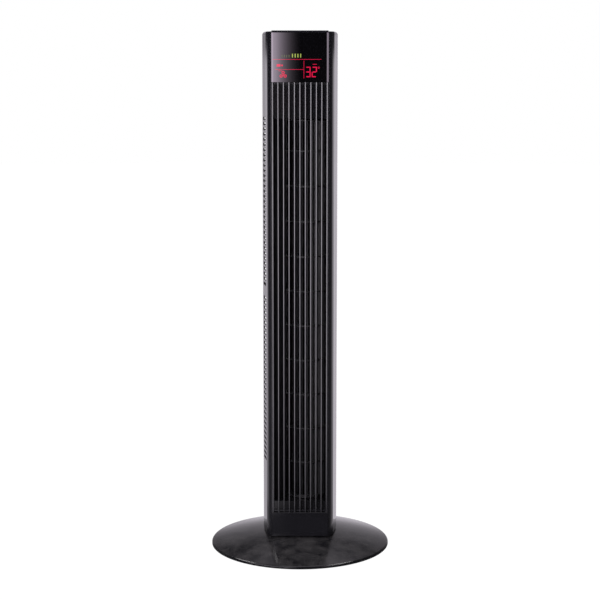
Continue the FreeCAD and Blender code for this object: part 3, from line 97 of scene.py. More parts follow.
class TowerFanShell(bpy.types.PropertyGroup):
    """Sizes of the base and of the tower's shell"""
    rim_round: length("Rim round", "Radius of the base's outer edge", 3.0)
    rim_height: length("Rim height", "Height of the base's edge where its rounding starts", 2.8)
    pivot_hole: length("Pivot hole", "Radius of the hole for the pivot", 16.0)
    dome_radius: length("Dome radius", "Radius of the base's dome, in section", 600.0)
    flat_radius: length("Flat radius", "Radius of the flat in the middle of the base", 62.0)
    side_taper: length("Side taper", "How far each side draws in from the widest to the seam", 6.6)
    corner_radius: length("Rear corner", "Radius of the tower's rear corners", 45.0)
    wall: length("Wall", "Thickness of the rear housing", 2.5)
    edge_round: length("Edge round", "Radius of the shell's moulded edges", 0.6)
    slot_height: length("Slot height", "Height of one intake slot", 5.0)
    slot_pitch: length("Slot pitch", "Distance from one intake slot to the next", 8.95)
    slot_front: length("Slot front", "How far the slots start in front of the middle", 37.0)
    rib_front: length("Rib front", "Start of the solid strip between the slots, in front of the middle", 8.0)
    rib_back: length("Rib back", "End of the solid strip between the slots, behind the middle", 14.0)
    slot_end: length("Slot end", "Where the slots end, across the rear wall", 2.0)
    lower_slots: length("Lower slots", "Height of the lowest slot", 161.0)
    upper_slots: length("Upper slots", "Height of the upper group's lowest slot", 472.0)
    slot_rows: bpy.props.IntProperty(name="Slot rows", description="Slots in each group", default=33, min=1)


class TowerFanFront(bpy.types.PropertyGroup):
    """Sizes of the bezel, the grille and the display"""
    bezel_round: length("Bezel round", "Radius of the front frame's edges", 0.24)
    slat_count: bpy.props.IntProperty(name="Slats", description="Upright slats in the outlet",
                                      default=11, min=2)
    slat_width: length("Slat width", "Width of one slat", 2.2)
    slat_inset: length("Slat inset", "From the grille's edge to the outermost slat's middle", 2.35)
    slat_nose: length("Slat nose", "Radius of a slat's front edges", 1.05)
    rail_width: length("Rail width", "Width of the grille's border", 3.6)
    tie_depth: length("Tie depth", "Thickness of the ties across the ends of the slats", 2.5)
    rail_setback: length("Rail setback", "How far the border lies behind the slats", 1.1)
    rail_round: length("Rail round", "Radius of the border's edges", 0.15)
    lens_crown: length("Lens crown", "How much the display bulges in its middle", 2.0)
    lens_bevel: length("Lens bevel", "Width of the bevel down each side of the display", 3.5)
    lens_bevel_fall: length("Lens bevel fall", "How far back each bevel runs", 1.15)
    lens_round: length("Lens round", "Radius of the display's edges", 0.3)


class TowerFanDetails(bpy.types.PropertyGroup):
    """Sizes of the feet, screws, buttons and cord inlet"""
    foot_round: length("Foot round", "Radius of the rubber feet's edges", 0.5)
    screw_round: length("Screw round", "Radius of the screw heads' edges", 0.35)
    cross_half: length("Cross arm", "Half the width of one arm of a screw's cross", 0.42)
    cross_reach: length("Cross reach", "From a screw's middle to the end of an arm", 1.9)
    cross_depth: length("Cross depth", "How deep the cross is sunk", 0.9)
    button_border: length("Button border", "Width of the flat round a button's dish", 0.9)
    button_round: length("Button round", "Radius of the buttons' edges", 0.35)
    inlet_round: length("Inlet round", "Radius of the cord inlet's edges", 0.8)


class TowerFanColours(bpy.types.PropertyGroup):
    """Colours of the finishes"""
    gloss_black: colour("Gloss black", "Shell, base, bezel and panels", (0.0030, 0.0030, 0.0037))
    satin_black: colour("Satin black", "Grille and inner mouldings", (0.0060, 0.0060, 0.0070))
    display_red: colour("Display red", "Digits, lines and fan sign", (0.74, 0.011, 0.066))
    display_green: colour("Display green", "Lit bars", (0.36, 0.44, 0.09))
    # Unlit bars, but given a faint painted glow: they emit this colour whatever the light.
    display_dim: colour("Display dim", "Unlit bars", (0.11, 0.125, 0.060))
    rubber: colour("Rubber", "Feet, dampers and gland", (0.020, 0.020, 0.021))
    nylon: colour("Nylon", "Washer, bush and gears", (0.78, 0.77, 0.72))
    steel: colour("Steel", "Plate, screws and motor", (0.56, 0.57, 0.58))
    aluminium: colour("Aluminium", "Spindle and rotor", (0.80, 0.81, 0.82))
    bronze: colour("Bronze", "Upper bearing", (0.58, 0.36, 0.16))
    board: colour("Circuit board", "Solder mask", (0.012, 0.085, 0.030))


class TowerFanStudio(bpy.types.PropertyGroup):
    """The camera and the light"""
    camera_distance: length("Camera distance", "From the fan's axis to the camera", 2850.0)
    camera_height: length("Camera height", "From the floor to the camera", 900.0)
    camera_tilt: bpy.props.FloatProperty(name="Camera tilt", description="How far the camera looks down",
                                         default=math.radians(9.13), subtype="ANGLE")
    lens: bpy.props.FloatProperty(name="Lens", description="Focal length", default=98.4,
                                  subtype="DISTANCE_CAMERA")
    top_power: bpy.props.FloatProperty(name="Top softbox", description="Power of the softbox overhead",
                                       default=6.0, min=0.0, unit="POWER")
    side_power: bpy.props.FloatProperty(name="Side softboxes", description="Power of each high side softbox",
                                        default=16.0, min=0.0, unit="POWER")


# ---------------------------------------------------------------- modelling by hand

def only(piece):
    """Makes one object the active and only selected one."""
    if bpy.context.object and bpy.context.object.mode != "OBJECT":
        bpy.ops.object.mode_set(mode="OBJECT")
    bpy.ops.object.select_all(action="DESELECT")
    piece.select_set(True)
    bpy.context.view_layer.objects.active = piece


def edit(piece):
    only(piece)
    bpy.ops.object.mode_set(mode="EDIT")
    bpy.ops.mesh.select_all(action="SELECT")


def done():
    bpy.ops.object.mode_set(mode="OBJECT")


def pick(piece, kind, test):
    """In edit mode, selects only the edges or faces whose middle passes a test."""
    bpy.ops.mesh.select_mode(type={"edges": "EDGE", "faces": "FACE"}[kind])
    mesh = bmesh.from_edit_mesh(piece.data)
    for part in (*mesh.verts, *mesh.edges, *mesh.faces):
        part.select = False
    for part in getattr(mesh, kind):
        middle = sum((corner.co for corner in part.verts), Vector()) / len(part.verts)
        part.select_set(test(middle, part))
    mesh.select_flush_mode()
    bmesh.update_edit_mesh(piece.data)


def named(name):
    piece = bpy.context.object
    piece.name = name
    piece.data.name = name
    bpy.ops.object.transform_apply(location=True, rotation=True, scale=True)
    return piece


def block(name, low, high):
    """A box between two corners, ready to be shaped."""
    bpy.ops.object.select_all(action="DESELECT")
    low, high = Vector(low), Vector(high)
    bpy.ops.mesh.primitive_cube_add(size=1.0, location=(low + high) / 2, scale=high - low)
    return named(name)


def turned(name, profile, segments):
    """A turned solid: a circle extruded ring by ring round a closed profile of (radius, height) points."""
    bpy.ops.object.select_all(action="DESELECT")
    radius, height = profile[0]
    bpy.ops.mesh.primitive_circle_add(vertices=segments, radius=radius, location=(0.0, 0.0, height))
    piece = named(name)
    edit(piece)
    for (was, low), (radius, height) in zip(profile, profile[1:] + profile[:1]):
        bpy.ops.mesh.extrude_region_move(TRANSFORM_OT_translate={"value": (0.0, 0.0, height - low)})
        grown = radius / was
        bpy.ops.transform.resize(value=(grown, grown, 1.0), center_override=(0.0, 0.0, 0.0))
    bpy.ops.mesh.select_all(action="SELECT")
    bpy.ops.mesh.remove_doubles(threshold=SNAP)
    bpy.ops.mesh.normals_make_consistent(inside=False)
    done()
    return piece


def traced(node, name):
    """A new piece with a CAD node's outline, its loose triangles joined into whole faces."""
    only(frame["nodes"][node])
    bpy.ops.object.duplicate()
    piece = bpy.context.object
    piece.name = name
    piece.data.name = name
    piece.parent = None
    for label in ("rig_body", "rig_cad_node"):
        del piece[label]
    edit(piece)
    bpy.ops.mesh.customdata_custom_splitnormals_clear()
    bpy.ops.mesh.remove_doubles(threshold=SNAP / 5)
    bpy.ops.mesh.dissolve_limited(angle_limit=math.radians(0.4))
    done()
    return piece


def apply(piece, kind, **settings):
    """Adds a modifier with its settings and applies it."""
    modifier = piece.modifiers.new(kind.title(), kind)
    for setting, value in settings.items():
        setattr(modifier, setting, value)
    only(piece)
    bpy.ops.object.modifier_apply(modifier=modifier.name)


def soften(piece, width, segments=2, angle=38.0):
    """Rounds every sharp edge a little."""
    apply(piece, "BEVEL", width=width, segments=segments, limit_method="ANGLE",
          angle_limit=math.radians(angle), use_clamp_overlap=True, miter_outer="MITER_ARC")


def smooth(piece, angle=38.0):
    """Smooth shading that keeps flat faces flat."""
    only(piece)
    bpy.ops.object.shade_smooth_by_angle(angle=math.radians(angle))
    apply(piece, "WEIGHTED_NORMAL", weight=80, keep_sharp=True)


def joined(name, pieces):
    """Several objects as one piece."""
    only(pieces[0])
    for piece in pieces[1:]:
        piece.select_set(True)
    bpy.ops.object.join()
    pieces[0].name = name
    pieces[0].data.name = name
    return pieces[0]


def body_with(node):
    bodies = frame["record"]["behaviour"]["bodies"]
    return next(body for body, members in bodies.items() if node in members)


def install(piece, finish, slot, *nodes):
    """Gives a piece its finish and puts it on the body of the CAD nodes it stands for."""
    piece.data.materials.clear()
    piece.data.materials.append(finish)
    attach(piece, body_with(nodes[0]))
    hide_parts(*nodes)


def refinish(finish, *nodes):
    """Gives CAD nodes that keep their shape a better material."""
    for node in nodes:
        mesh = frame["nodes"][node].data
        mesh.materials.clear()
        mesh.materials.append(finish)
        mesh.polygons.foreach_set("material_index", [0] * len(mesh.polygons))


# ---------------------------------------------------------------- finishes

def add(tree, kind, inputs=None, **settings):
    """A node with its settings; inputs maps a socket's name or number to a value or another node's socket."""
    node = tree.nodes.new(kind)
    for setting, value in settings.items():
        setattr(node, setting, value)
    for socket, value in (inputs or {}).items():
        if isinstance(value, bpy.types.NodeSocket):
            tree.links.new(value, node.inputs[socket])
        else:
            node.inputs[socket].default_value = value
    return node


def maths(tree, operation, first, second=0.0, **settings):
    return add(tree, "ShaderNodeMath", {0: first, 1: second}, operation=operation, **settings).outputs[0]


def span(tree, value, low, high, to_low=0.0, to_high=1.0):
    """Maps a value from one range to another, and stops at the ends."""
    return add(tree, "ShaderNodeMapRange", {0: value, 1: low, 2: high, 3: to_low, 4: to_high}).outputs[0]


def blend_colours(tree, factor, first, second):
    return add(tree, "ShaderNodeMix", {0: factor, 6: first, 7: second}, data_type="RGBA").outputs[2]


def noise(tree, place, scale, detail=2.0, roughness=0.5):
    node = add(tree, "ShaderNodeTexNoise", {"Vector": place, "Scale": scale, "Detail": detail,
                                            "Roughness": roughness})
    return node.outputs["Fac"]


def rgba(value, gain=1.0):
    return (value[0] * gain, value[1] * gain, value[2] * gain, 1.0)


def effect(name, inputs, outputs, draw):
    """A shader node group; draw fills it and returns the sockets for its outputs."""
    tree = bpy.data.node_groups.new(name, "ShaderNodeTree")
    for socket, kind, value in inputs:
        made = tree.interface.new_socket(name=socket, in_out="INPUT", socket_type=kind)
        if value is not None:
            made.default_value = value
    for socket in outputs:
        tree.interface.new_socket(name=socket, in_out="OUTPUT", socket_type="NodeSocketFloat")
    entry = tree.nodes.new("NodeGroupInput").outputs
    leave = tree.nodes.new("NodeGroupOutput").inputs
    for socket, value in zip(outputs, draw(tree, entry)):
        tree.links.new(value, leave[socket])
    return tree


PLACE = ("Place", "NodeSocketVector", None)


def moulded_skin(tree, entry):
    """The faint orange peel of a moulded surface, and slow changes in its polish."""
    fine = noise(tree, entry["Place"], entry["Scale"], 3.0, 0.55)
    slow = noise(tree, entry["Place"], entry["Patch scale"], 2.0, 0.5)
    return fine, span(tree, slow, 0.3, 0.7)


def settled_dust_and_painted_light(tree, entry):
    """Dust that lies thicker on faces that look up; laid on thickly, it also lightens them as painted light.
    """
    normal = tree.nodes.new("ShaderNodeNewGeometry").outputs["Normal"]
    up = add(tree, "ShaderNodeSeparateXYZ", {0: normal}).outputs[2]
    facing = span(tree, up, 0.25, 1.0)
    grains = span(tree, noise(tree, entry["Place"], 2600.0, 1.0, 0.6), 0.62, 0.78)
    film = span(tree, noise(tree, entry["Place"], 38.0, 4.0, 0.6), 0.35, 0.75)
    mixed = maths(tree, "ADD", maths(tree, "MULTIPLY", grains, 0.7), maths(tree, "MULTIPLY", film, 0.3))
    return [maths(tree, "MULTIPLY", maths(tree, "MULTIPLY", facing, mixed), entry["Amount"])]


def edge_wear(tree, entry):
    """Worn paint or polish on outward edges."""
    sharp = tree.nodes.new("ShaderNodeNewGeometry").outputs["Pointiness"]
    edge = span(tree, sharp, 0.515, 0.58)
    broken = span(tree, noise(tree, entry["Place"], 420.0, 3.0, 0.65), 0.35, 0.65)
    return [maths(tree, "MULTIPLY", maths(tree, "MULTIPLY", edge, broken), entry["Amount"])]


def fine_scratches(tree, entry):
    """Hairline scratches from wiping, in two directions."""
    marks = []
    for turn, scale in ((0.4, 55.0), (1.9, 70.0)):
        across = {"Vector": entry["Place"], "Rotation": (turn, 0.3, turn), "Scale": (1.0, 30.0, 1.0)}
        turned_place = add(tree, "ShaderNodeMapping", across).outputs[0]
        marks.append(span(tree, noise(tree, turned_place, scale, 1.0, 0.4), 0.70, 0.74))
    return [maths(tree, "MULTIPLY", maths(tree, "MAXIMUM", *marks), entry["Amount"])]


def drawn_grain(tree, entry):
    """Long fine lines left by rolling, brushing or turning."""
    stretched = add(tree, "ShaderNodeVectorMath", {0: entry["Place"], 1: entry["Stretch"]},
                    operation="MULTIPLY").outputs[0]
    return [noise(tree, stretched, 60.0, 5.0, 0.7)]


def lamp_glow(tree, entry):
    """The uneven light of small lamps behind a lit sign."""
    cells = add(tree, "ShaderNodeTexVoronoi", {"Vector": entry["Place"], "Scale": 520.0}).outputs["Distance"]
    spots = span(tree, cells, 0.0, 0.8, 1.12, 0.86)
    drift = span(tree, noise(tree, entry["Place"], 90.0, 2.0, 0.5), 0.3, 0.7, 0.88, 1.08)
    return [maths(tree, "MULTIPLY", spots, drift)]


def make_effects():
    amount = ("Amount", "NodeSocketFloat", 0.5)
    return {
        "skin": effect("MouldedSkin", [PLACE, ("Scale", "NodeSocketFloat", 700.0),
                                       ("Patch scale", "NodeSocketFloat", 14.0)], ["Height", "Patches"],
                       moulded_skin),
        "dust": effect("SettledDust", [PLACE, amount], ["Mask"], settled_dust_and_painted_light),
        "wear": effect("EdgeWear", [PLACE, amount], ["Mask"], edge_wear),
        "scratches": effect("FineScratches", [PLACE, amount], ["Mask"], fine_scratches),
        "grain": effect("DrawnGrain", [PLACE, ("Stretch", "NodeSocketVector", (1.0, 1.0, 1.0))], ["Lines"],
                        drawn_grain),
        "glow": effect("LampGlow", [PLACE], ["Brightness"], lamp_glow),
    }


class Finish:
    """A material in the making: its tree, its shader and the place it reads."""

    def __init__(self, name, effects):
        self.material = bpy.data.materials.new(name)
        self.material.use_nodes = True
        self.tree = self.material.node_tree
        self.shader = self.tree.nodes["Principled BSDF"]
        self.effects = effects
        self.place = self.tree.nodes.new("ShaderNodeTexCoord").outputs["Object"]

    def set(self, **values):
        for socket, value in values.items():
            self.shader.inputs[socket.replace("_", " ")].default_value = value

    def feed(self, socket, value):
        self.tree.links.new(value, self.shader.inputs[socket])

    def use(self, name, **values):
        inputs = {"Place": self.place, **{key.replace("_", " "): value for key, value in values.items()}}
        return add(self.tree, "ShaderNodeGroup", inputs, node_tree=self.effects[name]).outputs

    def bump(self, height, depth):
        node = add(self.tree, "ShaderNodeBump", {"Height": height, "Distance": depth, "Strength": 1.0})
        self.feed("Normal", node.outputs["Normal"])


def plastic(name, effects, tint, rough, scale, depth, dust, wear=0.0, scratches=0.0, index=1.5,
            reflects=WHITE):
    """A moulded plastic: polish that varies in patches, dust on top (laid thick, it is painted light too),
    hairlines and worn edges.
    """
    made = Finish(name, effects)
    made.set(IOR=index, Specular_Tint=reflects)
    skin = made.use("skin", Scale=scale)
    dust_and_painted_light_mask = made.use("dust", Amount=dust)["Mask"]
    worn = made.use("wear", Amount=wear)["Mask"]
    marked = made.use("scratches", Amount=scratches)["Mask"]
    base = blend_colours(made.tree, skin["Patches"], rgba(tint, 0.88), rgba(tint, 1.12))
    base = blend_colours(made.tree, worn, base, rgba(tint, 5.0))
    # Dust colour on upward faces: real dust, and on the dish also a painted lightening in place of reflected
    # light.
    base = blend_colours(made.tree, dust_and_painted_light_mask, base, DUST_AND_PAINTED_LIGHT_COLOUR)
    made.feed("Base Color", base)
    polish = span(made.tree, skin["Patches"], 0.0, 1.0, rough * 0.85, rough * 1.15)
    dulled = maths(made.tree, "ADD", maths(made.tree, "MULTIPLY", dust_and_painted_light_mask, 0.6), marked)
    made.feed("Roughness", maths(made.tree, "ADD", polish, dulled, use_clamp=True))
    made.bump(skin["Height"], depth)
    return made.material


def metal(name, effects, tint, rough, stretch, depth):
    """A bare metal with the grain of how it was made."""
    made = Finish(name, effects)
    made.set(Metallic=1.0)
    lines = made.use("grain", Stretch=stretch)["Lines"]
    patches = made.use("skin", Scale=240.0)["Patches"]
    worn = made.use("wear", Amount=0.25)["Mask"]
    base = blend_colours(made.tree, lines, rgba(tint, 0.80), rgba(tint, 1.08))
    base = blend_colours(made.tree, worn, base, rgba(tint, 1.2))
    made.feed("Base Color", base)
    spread = maths(made.tree, "MULTIPLY", patches, 0.08)
    brushed = span(made.tree, lines, 0.2, 0.8, rough, rough + 0.14)
    made.feed("Roughness", maths(made.tree, "ADD", brushed, spread))
    made.bump(lines, depth)
    return made.material


def lit_sign(name, effects, tint, strength):
    """A lit mark on the display; the unlit bars use it too, as a painted glow."""
    made = Finish(name, effects)
    made.set(Emission_Strength=strength, Roughness=0.05, Specular_IOR_Level=0.25)
    glow = span(made.tree, made.use("glow")["Brightness"], 0.75, 1.2)
    made.feed("Emission Color", blend_colours(made.tree, glow, rgba(tint, 0.72), rgba(tint, 1.0)))
    made.feed("Base Color", blend_colours(made.tree, glow, rgba(tint, 0.05), rgba(tint, 0.10)))
    return made.material


def circuit_board(name, effects, tint):
    """Solder mask over copper lines, with tinned pads."""
    made = Finish(name, effects)
    tree = made.tree
    tiles = add(tree, "ShaderNodeTexBrick", {"Vector": made.place, "Scale": 90.0, "Mortar Size": 0.05,
                                             "Mortar Smooth": 0.1}).outputs["Fac"]
    pads = add(tree, "ShaderNodeTexVoronoi", {"Vector": made.place, "Scale": 210.0}).outputs["Distance"]
    copper = maths(tree, "MULTIPLY", tiles, 0.6)
    tinned = span(tree, pads, 0.10, 0.13, 1.0, 0.0)
    base = blend_colours(tree, copper, rgba(tint), rgba(tint, 1.9))
    made.feed("Base Color", blend_colours(tree, tinned, base, TIN_COLOUR))
    made.feed("Roughness", span(tree, made.use("skin")["Patches"], 0.0, 1.0, 0.28, 0.42))
    made.bump(maths(tree, "ADD", copper, tinned), 0.04 * MM)
    return made.material


def make_finishes(colours):
    effects = make_effects()
    gloss, satin, steel = colours.gloss_black, colours.satin_black, colours.steel
    return {
        "gloss": plastic("GlossBlackShell", effects, gloss, rough=0.075, scale=520.0, depth=0.0035 * MM,
                         dust=0.05, wear=0.10, scratches=0.03),
        # The dish's dust is laid on five times thicker than the shell's: partly dust, partly a painted
        # lightening of its upward faces in place of the light they reflect.
        "dish": plastic("GlossBlackDish", effects, gloss, rough=0.15, scale=520.0, depth=0.0035 * MM,
                        dust=0.25, wear=0.10, scratches=0.03),
        "satin": plastic("SatinBlackMoulding", effects, satin, rough=0.38, scale=1500.0, depth=0.01 * MM,
                         dust=0.06, wear=0.04, index=1.3),
        "slat": plastic("OutletSlatBlack", effects, satin, rough=0.11, scale=1500.0, depth=0.008 * MM,
                        dust=0.06, wear=0.05, index=1.64),
        "impeller": plastic("ImpellerBlack", effects, satin, rough=0.5, scale=900.0, depth=0.01 * MM,
                            dust=0.08, wear=0.05, index=1.4),
        "lens": plastic("DisplayWindowBlack", effects, rgba(gloss, 0.17), rough=0.035, scale=300.0,
                        depth=0.001 * MM, dust=0.02, scratches=0.015, index=1.54,
                        reflects=(1.0, 0.90, 0.99, 1.0)),
        "button": plastic("ButtonBlack", effects, rgba(satin, 1.6), rough=0.32, scale=2200.0,
                          depth=0.01 * MM, dust=0.08, wear=0.15),
        "rubber": plastic("FootRubber", effects, colours.rubber, rough=0.78, scale=1800.0,
                          depth=0.03 * MM, dust=0.25, wear=0.2),
        "nylon": plastic("WhiteNylon", effects, colours.nylon, rough=0.42, scale=900.0,
                         depth=0.01 * MM, dust=0.0),
        "red": lit_sign("DisplayRed", effects, colours.display_red, strength=1.05),
        "green": lit_sign("DisplayGreen", effects, colours.display_green, strength=1.0),
        # The unlit bars emit their colour too, as a painted glow.
        "dim": lit_sign("DisplayDim", effects, colours.display_dim, strength=1.0),
        "plate": metal("RolledSteelPlate", effects, steel, rough=0.34, stretch=(1.0, 30.0, 1.0),
                       depth=0.006 * MM),
        "screw": metal("ZincScrewSteel", effects, rgba(steel, 1.15), rough=0.26, stretch=(6.0, 6.0, 6.0),
                       depth=0.004 * MM),
        "can": metal("DrawnMotorCan", effects, rgba(steel, 0.9), rough=0.30, stretch=(1.0, 1.0, 40.0),
                     depth=0.006 * MM),
        "spindle": metal("TurnedAluminium", effects, colours.aluminium, rough=0.24,
                         stretch=(1.0, 1.0, 60.0), depth=0.005 * MM),
        "laminated": metal("LaminatedCore", effects, rgba(steel, 0.6), rough=0.45,
                           stretch=(0.2, 0.2, 90.0), depth=0.05 * MM),
        "bronze": metal("SinteredBronze", effects, colours.bronze, rough=0.42, stretch=(9.0, 9.0, 9.0),
                        depth=0.01 * MM),
        "board": circuit_board("CircuitBoard", effects, colours.board),
    }


finishes = {}


# ---------------------------------------------------------------- pieces

def arc_points(centre, radius, first, last, count):
    """Points along an arc, with both ends, angles in degrees."""
    angles = [math.radians(first + (last - first) * step / count) for step in range(count + 1)]
    return [(centre[0] + radius * math.cos(angle), centre[1] + radius * math.sin(angle)) for angle in angles]


def dish_profile(shell, low, high):
    """The base cover's section as (radius, height) points, over the top and back underneath."""
    edge = high[X]
    hole = shell.pivot_hole
    rim_top = low[Z] + shell.rim_height
    slope = math.radians(12.0)
    shoulder = (edge - shell.rim_round * (1 - math.sin(slope)), rim_top + shell.rim_round * math.cos(slope))
    flat = (shell.flat_radius, high[Z])
    run, drop = shoulder[0] - flat[0], shoulder[1] - flat[1]
    chord = math.hypot(run, drop)
    reach = math.sqrt(shell.dome_radius ** 2 - (chord / 2) ** 2)
    centre = ((flat[0] + shoulder[0]) / 2 + drop / chord * reach,
              (flat[1] + shoulder[1]) / 2 - run / chord * reach)
    first = math.degrees(math.atan2(flat[1] - centre[1], flat[0] - centre[0]))
    last = math.degrees(math.atan2(shoulder[1] - centre[1], shoulder[0] - centre[0]))
    dome = arc_points(centre, shell.dome_radius, first, last, count=28)
    rim = arc_points((edge - shell.rim_round, rim_top), shell.rim_round, first=62.0, last=0.0, count=6)
    cut = 0.5 * MM
    skirt = [(edge, low[Z] + cut), (edge - cut, low[Z]), (edge - shell.wall, low[Z]),
             (edge - shell.wall, rim_top)]
    under = [(shell.flat_radius, high[Z] - shell.wall), (hole, high[Z] - shell.wall)]
    neck = [(hole, high[Z] - cut), (hole + cut, high[Z])]
    middle = [(hole + (shell.flat_radius - hole) * step / 4, high[Z]) for step in range(1, 4)]
    return neck + middle + dome + rim + skirt + under


class FAN_OT_base(bpy.types.Operator):
    """Turns the glossy dished base cover and finishes its feet, plate and screws"""
    bl_idname = "fan.base"
    bl_label = "Round base"

    def execute(self, context):
        low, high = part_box("base_cover")
        dish = turned("base_dish", dish_profile(context.scene.fan_shell, low, high), segments=192)
        smooth(dish, angle=30.0)
        install(dish, finishes["dish"], "black_gloss", "base_cover")
        feet = traced("rubber_feet", "foot_pads")
        soften(feet, context.scene.fan_details.foot_round, segments=3)
        smooth(feet)
        install(feet, finishes["rubber"], "rubber", "rubber_feet")
        refinish(finishes["plate"], "base_plate")
        for node in ("base_screws", "spindle_screws"):
            cross_headed(node, (0, 0, -1))
        return {"FINISHED"}


def cross_headed(node, outward):
    """Rounds a row of screws and sinks a cross into each head, on the side that looks outward."""
    details = bpy.context.scene.fan_details
    screws = traced(node, node + "_cross")
    soften(screws, details.screw_round)
    outward = Vector(outward)
    mesh = bmesh.new()
    mesh.from_mesh(screws.data)
    heads = []
    seen = set()
    for start in mesh.verts:
        if start in seen:
            continue
        island, queue = [], [start]
        seen.add(start)
        while queue:
            vertex = queue.pop()
            island.append(vertex.co.copy())
            for edge in vertex.link_edges:
                other = edge.other_vert(vertex)
                if other not in seen:
                    seen.add(other)
                    queue.append(other)
        top = max(point.dot(outward) for point in island)
        crown = [point for point in island if point.dot(outward) > top - SNAP]
        heads.append(sum(crown, Vector()) / len(crown))
    mesh.free()
    along = next(axis for axis in (X, Y, Z) if abs(outward[axis]) > 0.5)
    cutters = []
    for number, head in enumerate(heads):
        for arm, side in enumerate(axis for axis in (X, Y, Z) if axis != along):
            reach = Vector([details.cross_half] * 3)
            reach[side] = details.cross_reach
            reach[along] = details.cross_depth
            cutters.append(block(f"cutter_{number}_{arm}", head - reach, head + reach))
    cutter = joined("cross_cutter", cutters)
    apply(screws, "BOOLEAN", operation="DIFFERENCE", solver="EXACT", object=cutter, use_self=True)
    bpy.data.objects.remove(cutter)
    smooth(screws)
    install(screws, finishes["screw"], "screw_steel", node)


def shell_path(shell, half, seam, back):
    """The rear housing's outer line in plan, from the right seam round the back to the left seam."""
    side = [(half - shell.side_taper * share, -seam * share)
            for share in (1.0, shell.slot_front / seam, 0.5, shell.rib_front / seam, 0.0)]
    corner_y = back - shell.corner_radius
    corner = arc_points((half - shell.corner_radius, corner_y), shell.corner_radius, 0.0, 90.0, 18)
    right = side + [(half, shell.rib_back)] + corner
    left = [(-x, y) for x, y in reversed(right)]
    return right + [(shell.slot_end, back)] + left


class FAN_OT_rear_shell(bpy.types.Operator):
    """Draws the wrapped rear housing and opens its rows of intake slots"""
    bl_idname = "fan.rear_shell"
    bl_label = "Rear housing"

    def execute(self, context):
        shell = context.scene.fan_shell
        low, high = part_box("rear_housing")
        path = shell_path(shell, high[X], -low[Y], high[Y])
        starts = [bottom + row * shell.slot_pitch for bottom in (shell.lower_slots, shell.upper_slots)
                  for row in range(shell.slot_rows)]
        edges = [level for start in starts for level in (start, start + shell.slot_height)]
        levels = [low[Z], *edges, high[Z]]
        bpy.ops.object.select_all(action="DESELECT")
        bpy.ops.mesh.primitive_circle_add(vertices=len(path), radius=high[X], location=(0.0, 0.0, low[Z]))
        piece = named("rear_shell")
        edit(piece)
        mesh = bmesh.from_edit_mesh(piece.data)
        mesh.verts.ensure_lookup_table()
        for vertex, (x, y) in zip(mesh.verts, path):
            vertex.co = (x, y, low[Z])
        closing = next(edge for edge in mesh.edges
                       if {vertex.index for vertex in edge.verts} == {0, len(path) - 1})
        mesh.edges.remove(closing)
        bmesh.update_edit_mesh(piece.data)
        for bottom, top in zip(levels, levels[1:]):
            bpy.ops.mesh.extrude_region_move(TRANSFORM_OT_translate={"value": (0.0, 0.0, top - bottom)})

        def in_slot(middle, face):
            if middle.x > shell.slot_end - MM or middle.y < -shell.slot_front:
                return False
            if -shell.rib_front < middle.y < shell.rib_back:
                return False
            return any(start < middle.z < start + shell.slot_height for start in starts)

        pick(piece, "faces", in_slot)
        bpy.ops.mesh.delete(type="FACE")
        bpy.ops.mesh.select_all(action="SELECT")
        bpy.ops.mesh.normals_make_consistent(inside=False)
        pick(piece, "faces", lambda middle, face: face.normal.dot(Vector((middle.x, middle.y, 0.0))) < 0)
        bpy.ops.mesh.flip_normals()
        done()
        apply(piece, "SOLIDIFY", thickness=shell.wall, offset=-1.0, use_even_offset=True)
        soften(piece, shell.edge_round / 2, angle=50.0)
        smooth(piece, angle=40.0)
        install(piece, finishes["gloss"], "black_gloss", "rear_housing")
        cross_headed("rear_screws", (0, 1, 0))
        return {"FINISHED"}


class FAN_OT_front_frame(bpy.types.Operator):
    """Rounds the edges of the front frame, chin panel and top cap"""
    bl_idname = "fan.front_frame"
    bl_label = "Front frame and caps"

    def execute(self, context):
        shell = context.scene.fan_shell
        for node, name, width in (("front_frame", "bezel_frame", context.scene.fan_front.bezel_round),
                                  ("chin_panel", "chin_cover", shell.edge_round),
                                  ("top_cap", "top_cover", shell.edge_round / 2)):
            piece = traced(node, name)
            soften(piece, width, segments=3)
            smooth(piece)
            install(piece, finishes["gloss"], "black_gloss", node)
        return {"FINISHED"}


class FAN_OT_outlet_grille(bpy.types.Operator):
    """Builds the outlet's border and its round-nosed upright slats"""
    bl_idname = "fan.outlet_grille"
    bl_label = "Outlet grille"

    def execute(self, context):
        front = context.scene.fan_front
        low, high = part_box("front_grille")
        rail_front = low[Y] + front.rail_setback
        rails = [block("rail", (low[X], rail_front, low[Z]), (low[X] + front.rail_width, high[Y], high[Z])),
                 block("rail", (high[X] - front.rail_width, rail_front, low[Z]), high)]
        tie_front = high[Y] - front.tie_depth
        rails += [block("tie", (low[X], tie_front, low[Z]), (high[X], high[Y], low[Z] + front.rail_width)),
                  block("tie", (low[X], tie_front, high[Z] - front.rail_width), high)]
        border = joined("grille_border", rails)
        soften(border, front.rail_round)
        reach = high[X] - front.slat_inset
        half = front.slat_width / 2
        nose = low[Y]
        mid_height = (low[Z] + high[Z]) / 2
        slat = block("slat", (-reach - half, nose, low[Z]), (-reach + half, high[Y], high[Z]))

        def upright_at_nose(middle, edge):
            return abs(middle.y - nose) < NEAR and abs(middle.z - mid_height) < MM

        edit(slat)
        pick(slat, "edges", upright_at_nose)
        bpy.ops.mesh.bevel(offset=front.slat_nose, segments=5, profile=0.5)
        done()
        step = 2 * reach / (front.slat_count - 1)
        slats = [slat]
        for number in range(1, front.slat_count):
            only(slat)
            bpy.ops.object.duplicate()
            copy = bpy.context.object
            copy.location.x = number * step
            bpy.ops.object.transform_apply(location=True, rotation=False, scale=False)
            slats.append(copy)
        grille = joined("outlet_grille", [border, *slats])
        smooth(grille, angle=35.0)
        install(grille, finishes["slat"], "grille_black", "front_grille")
        return {"FINISHED"}


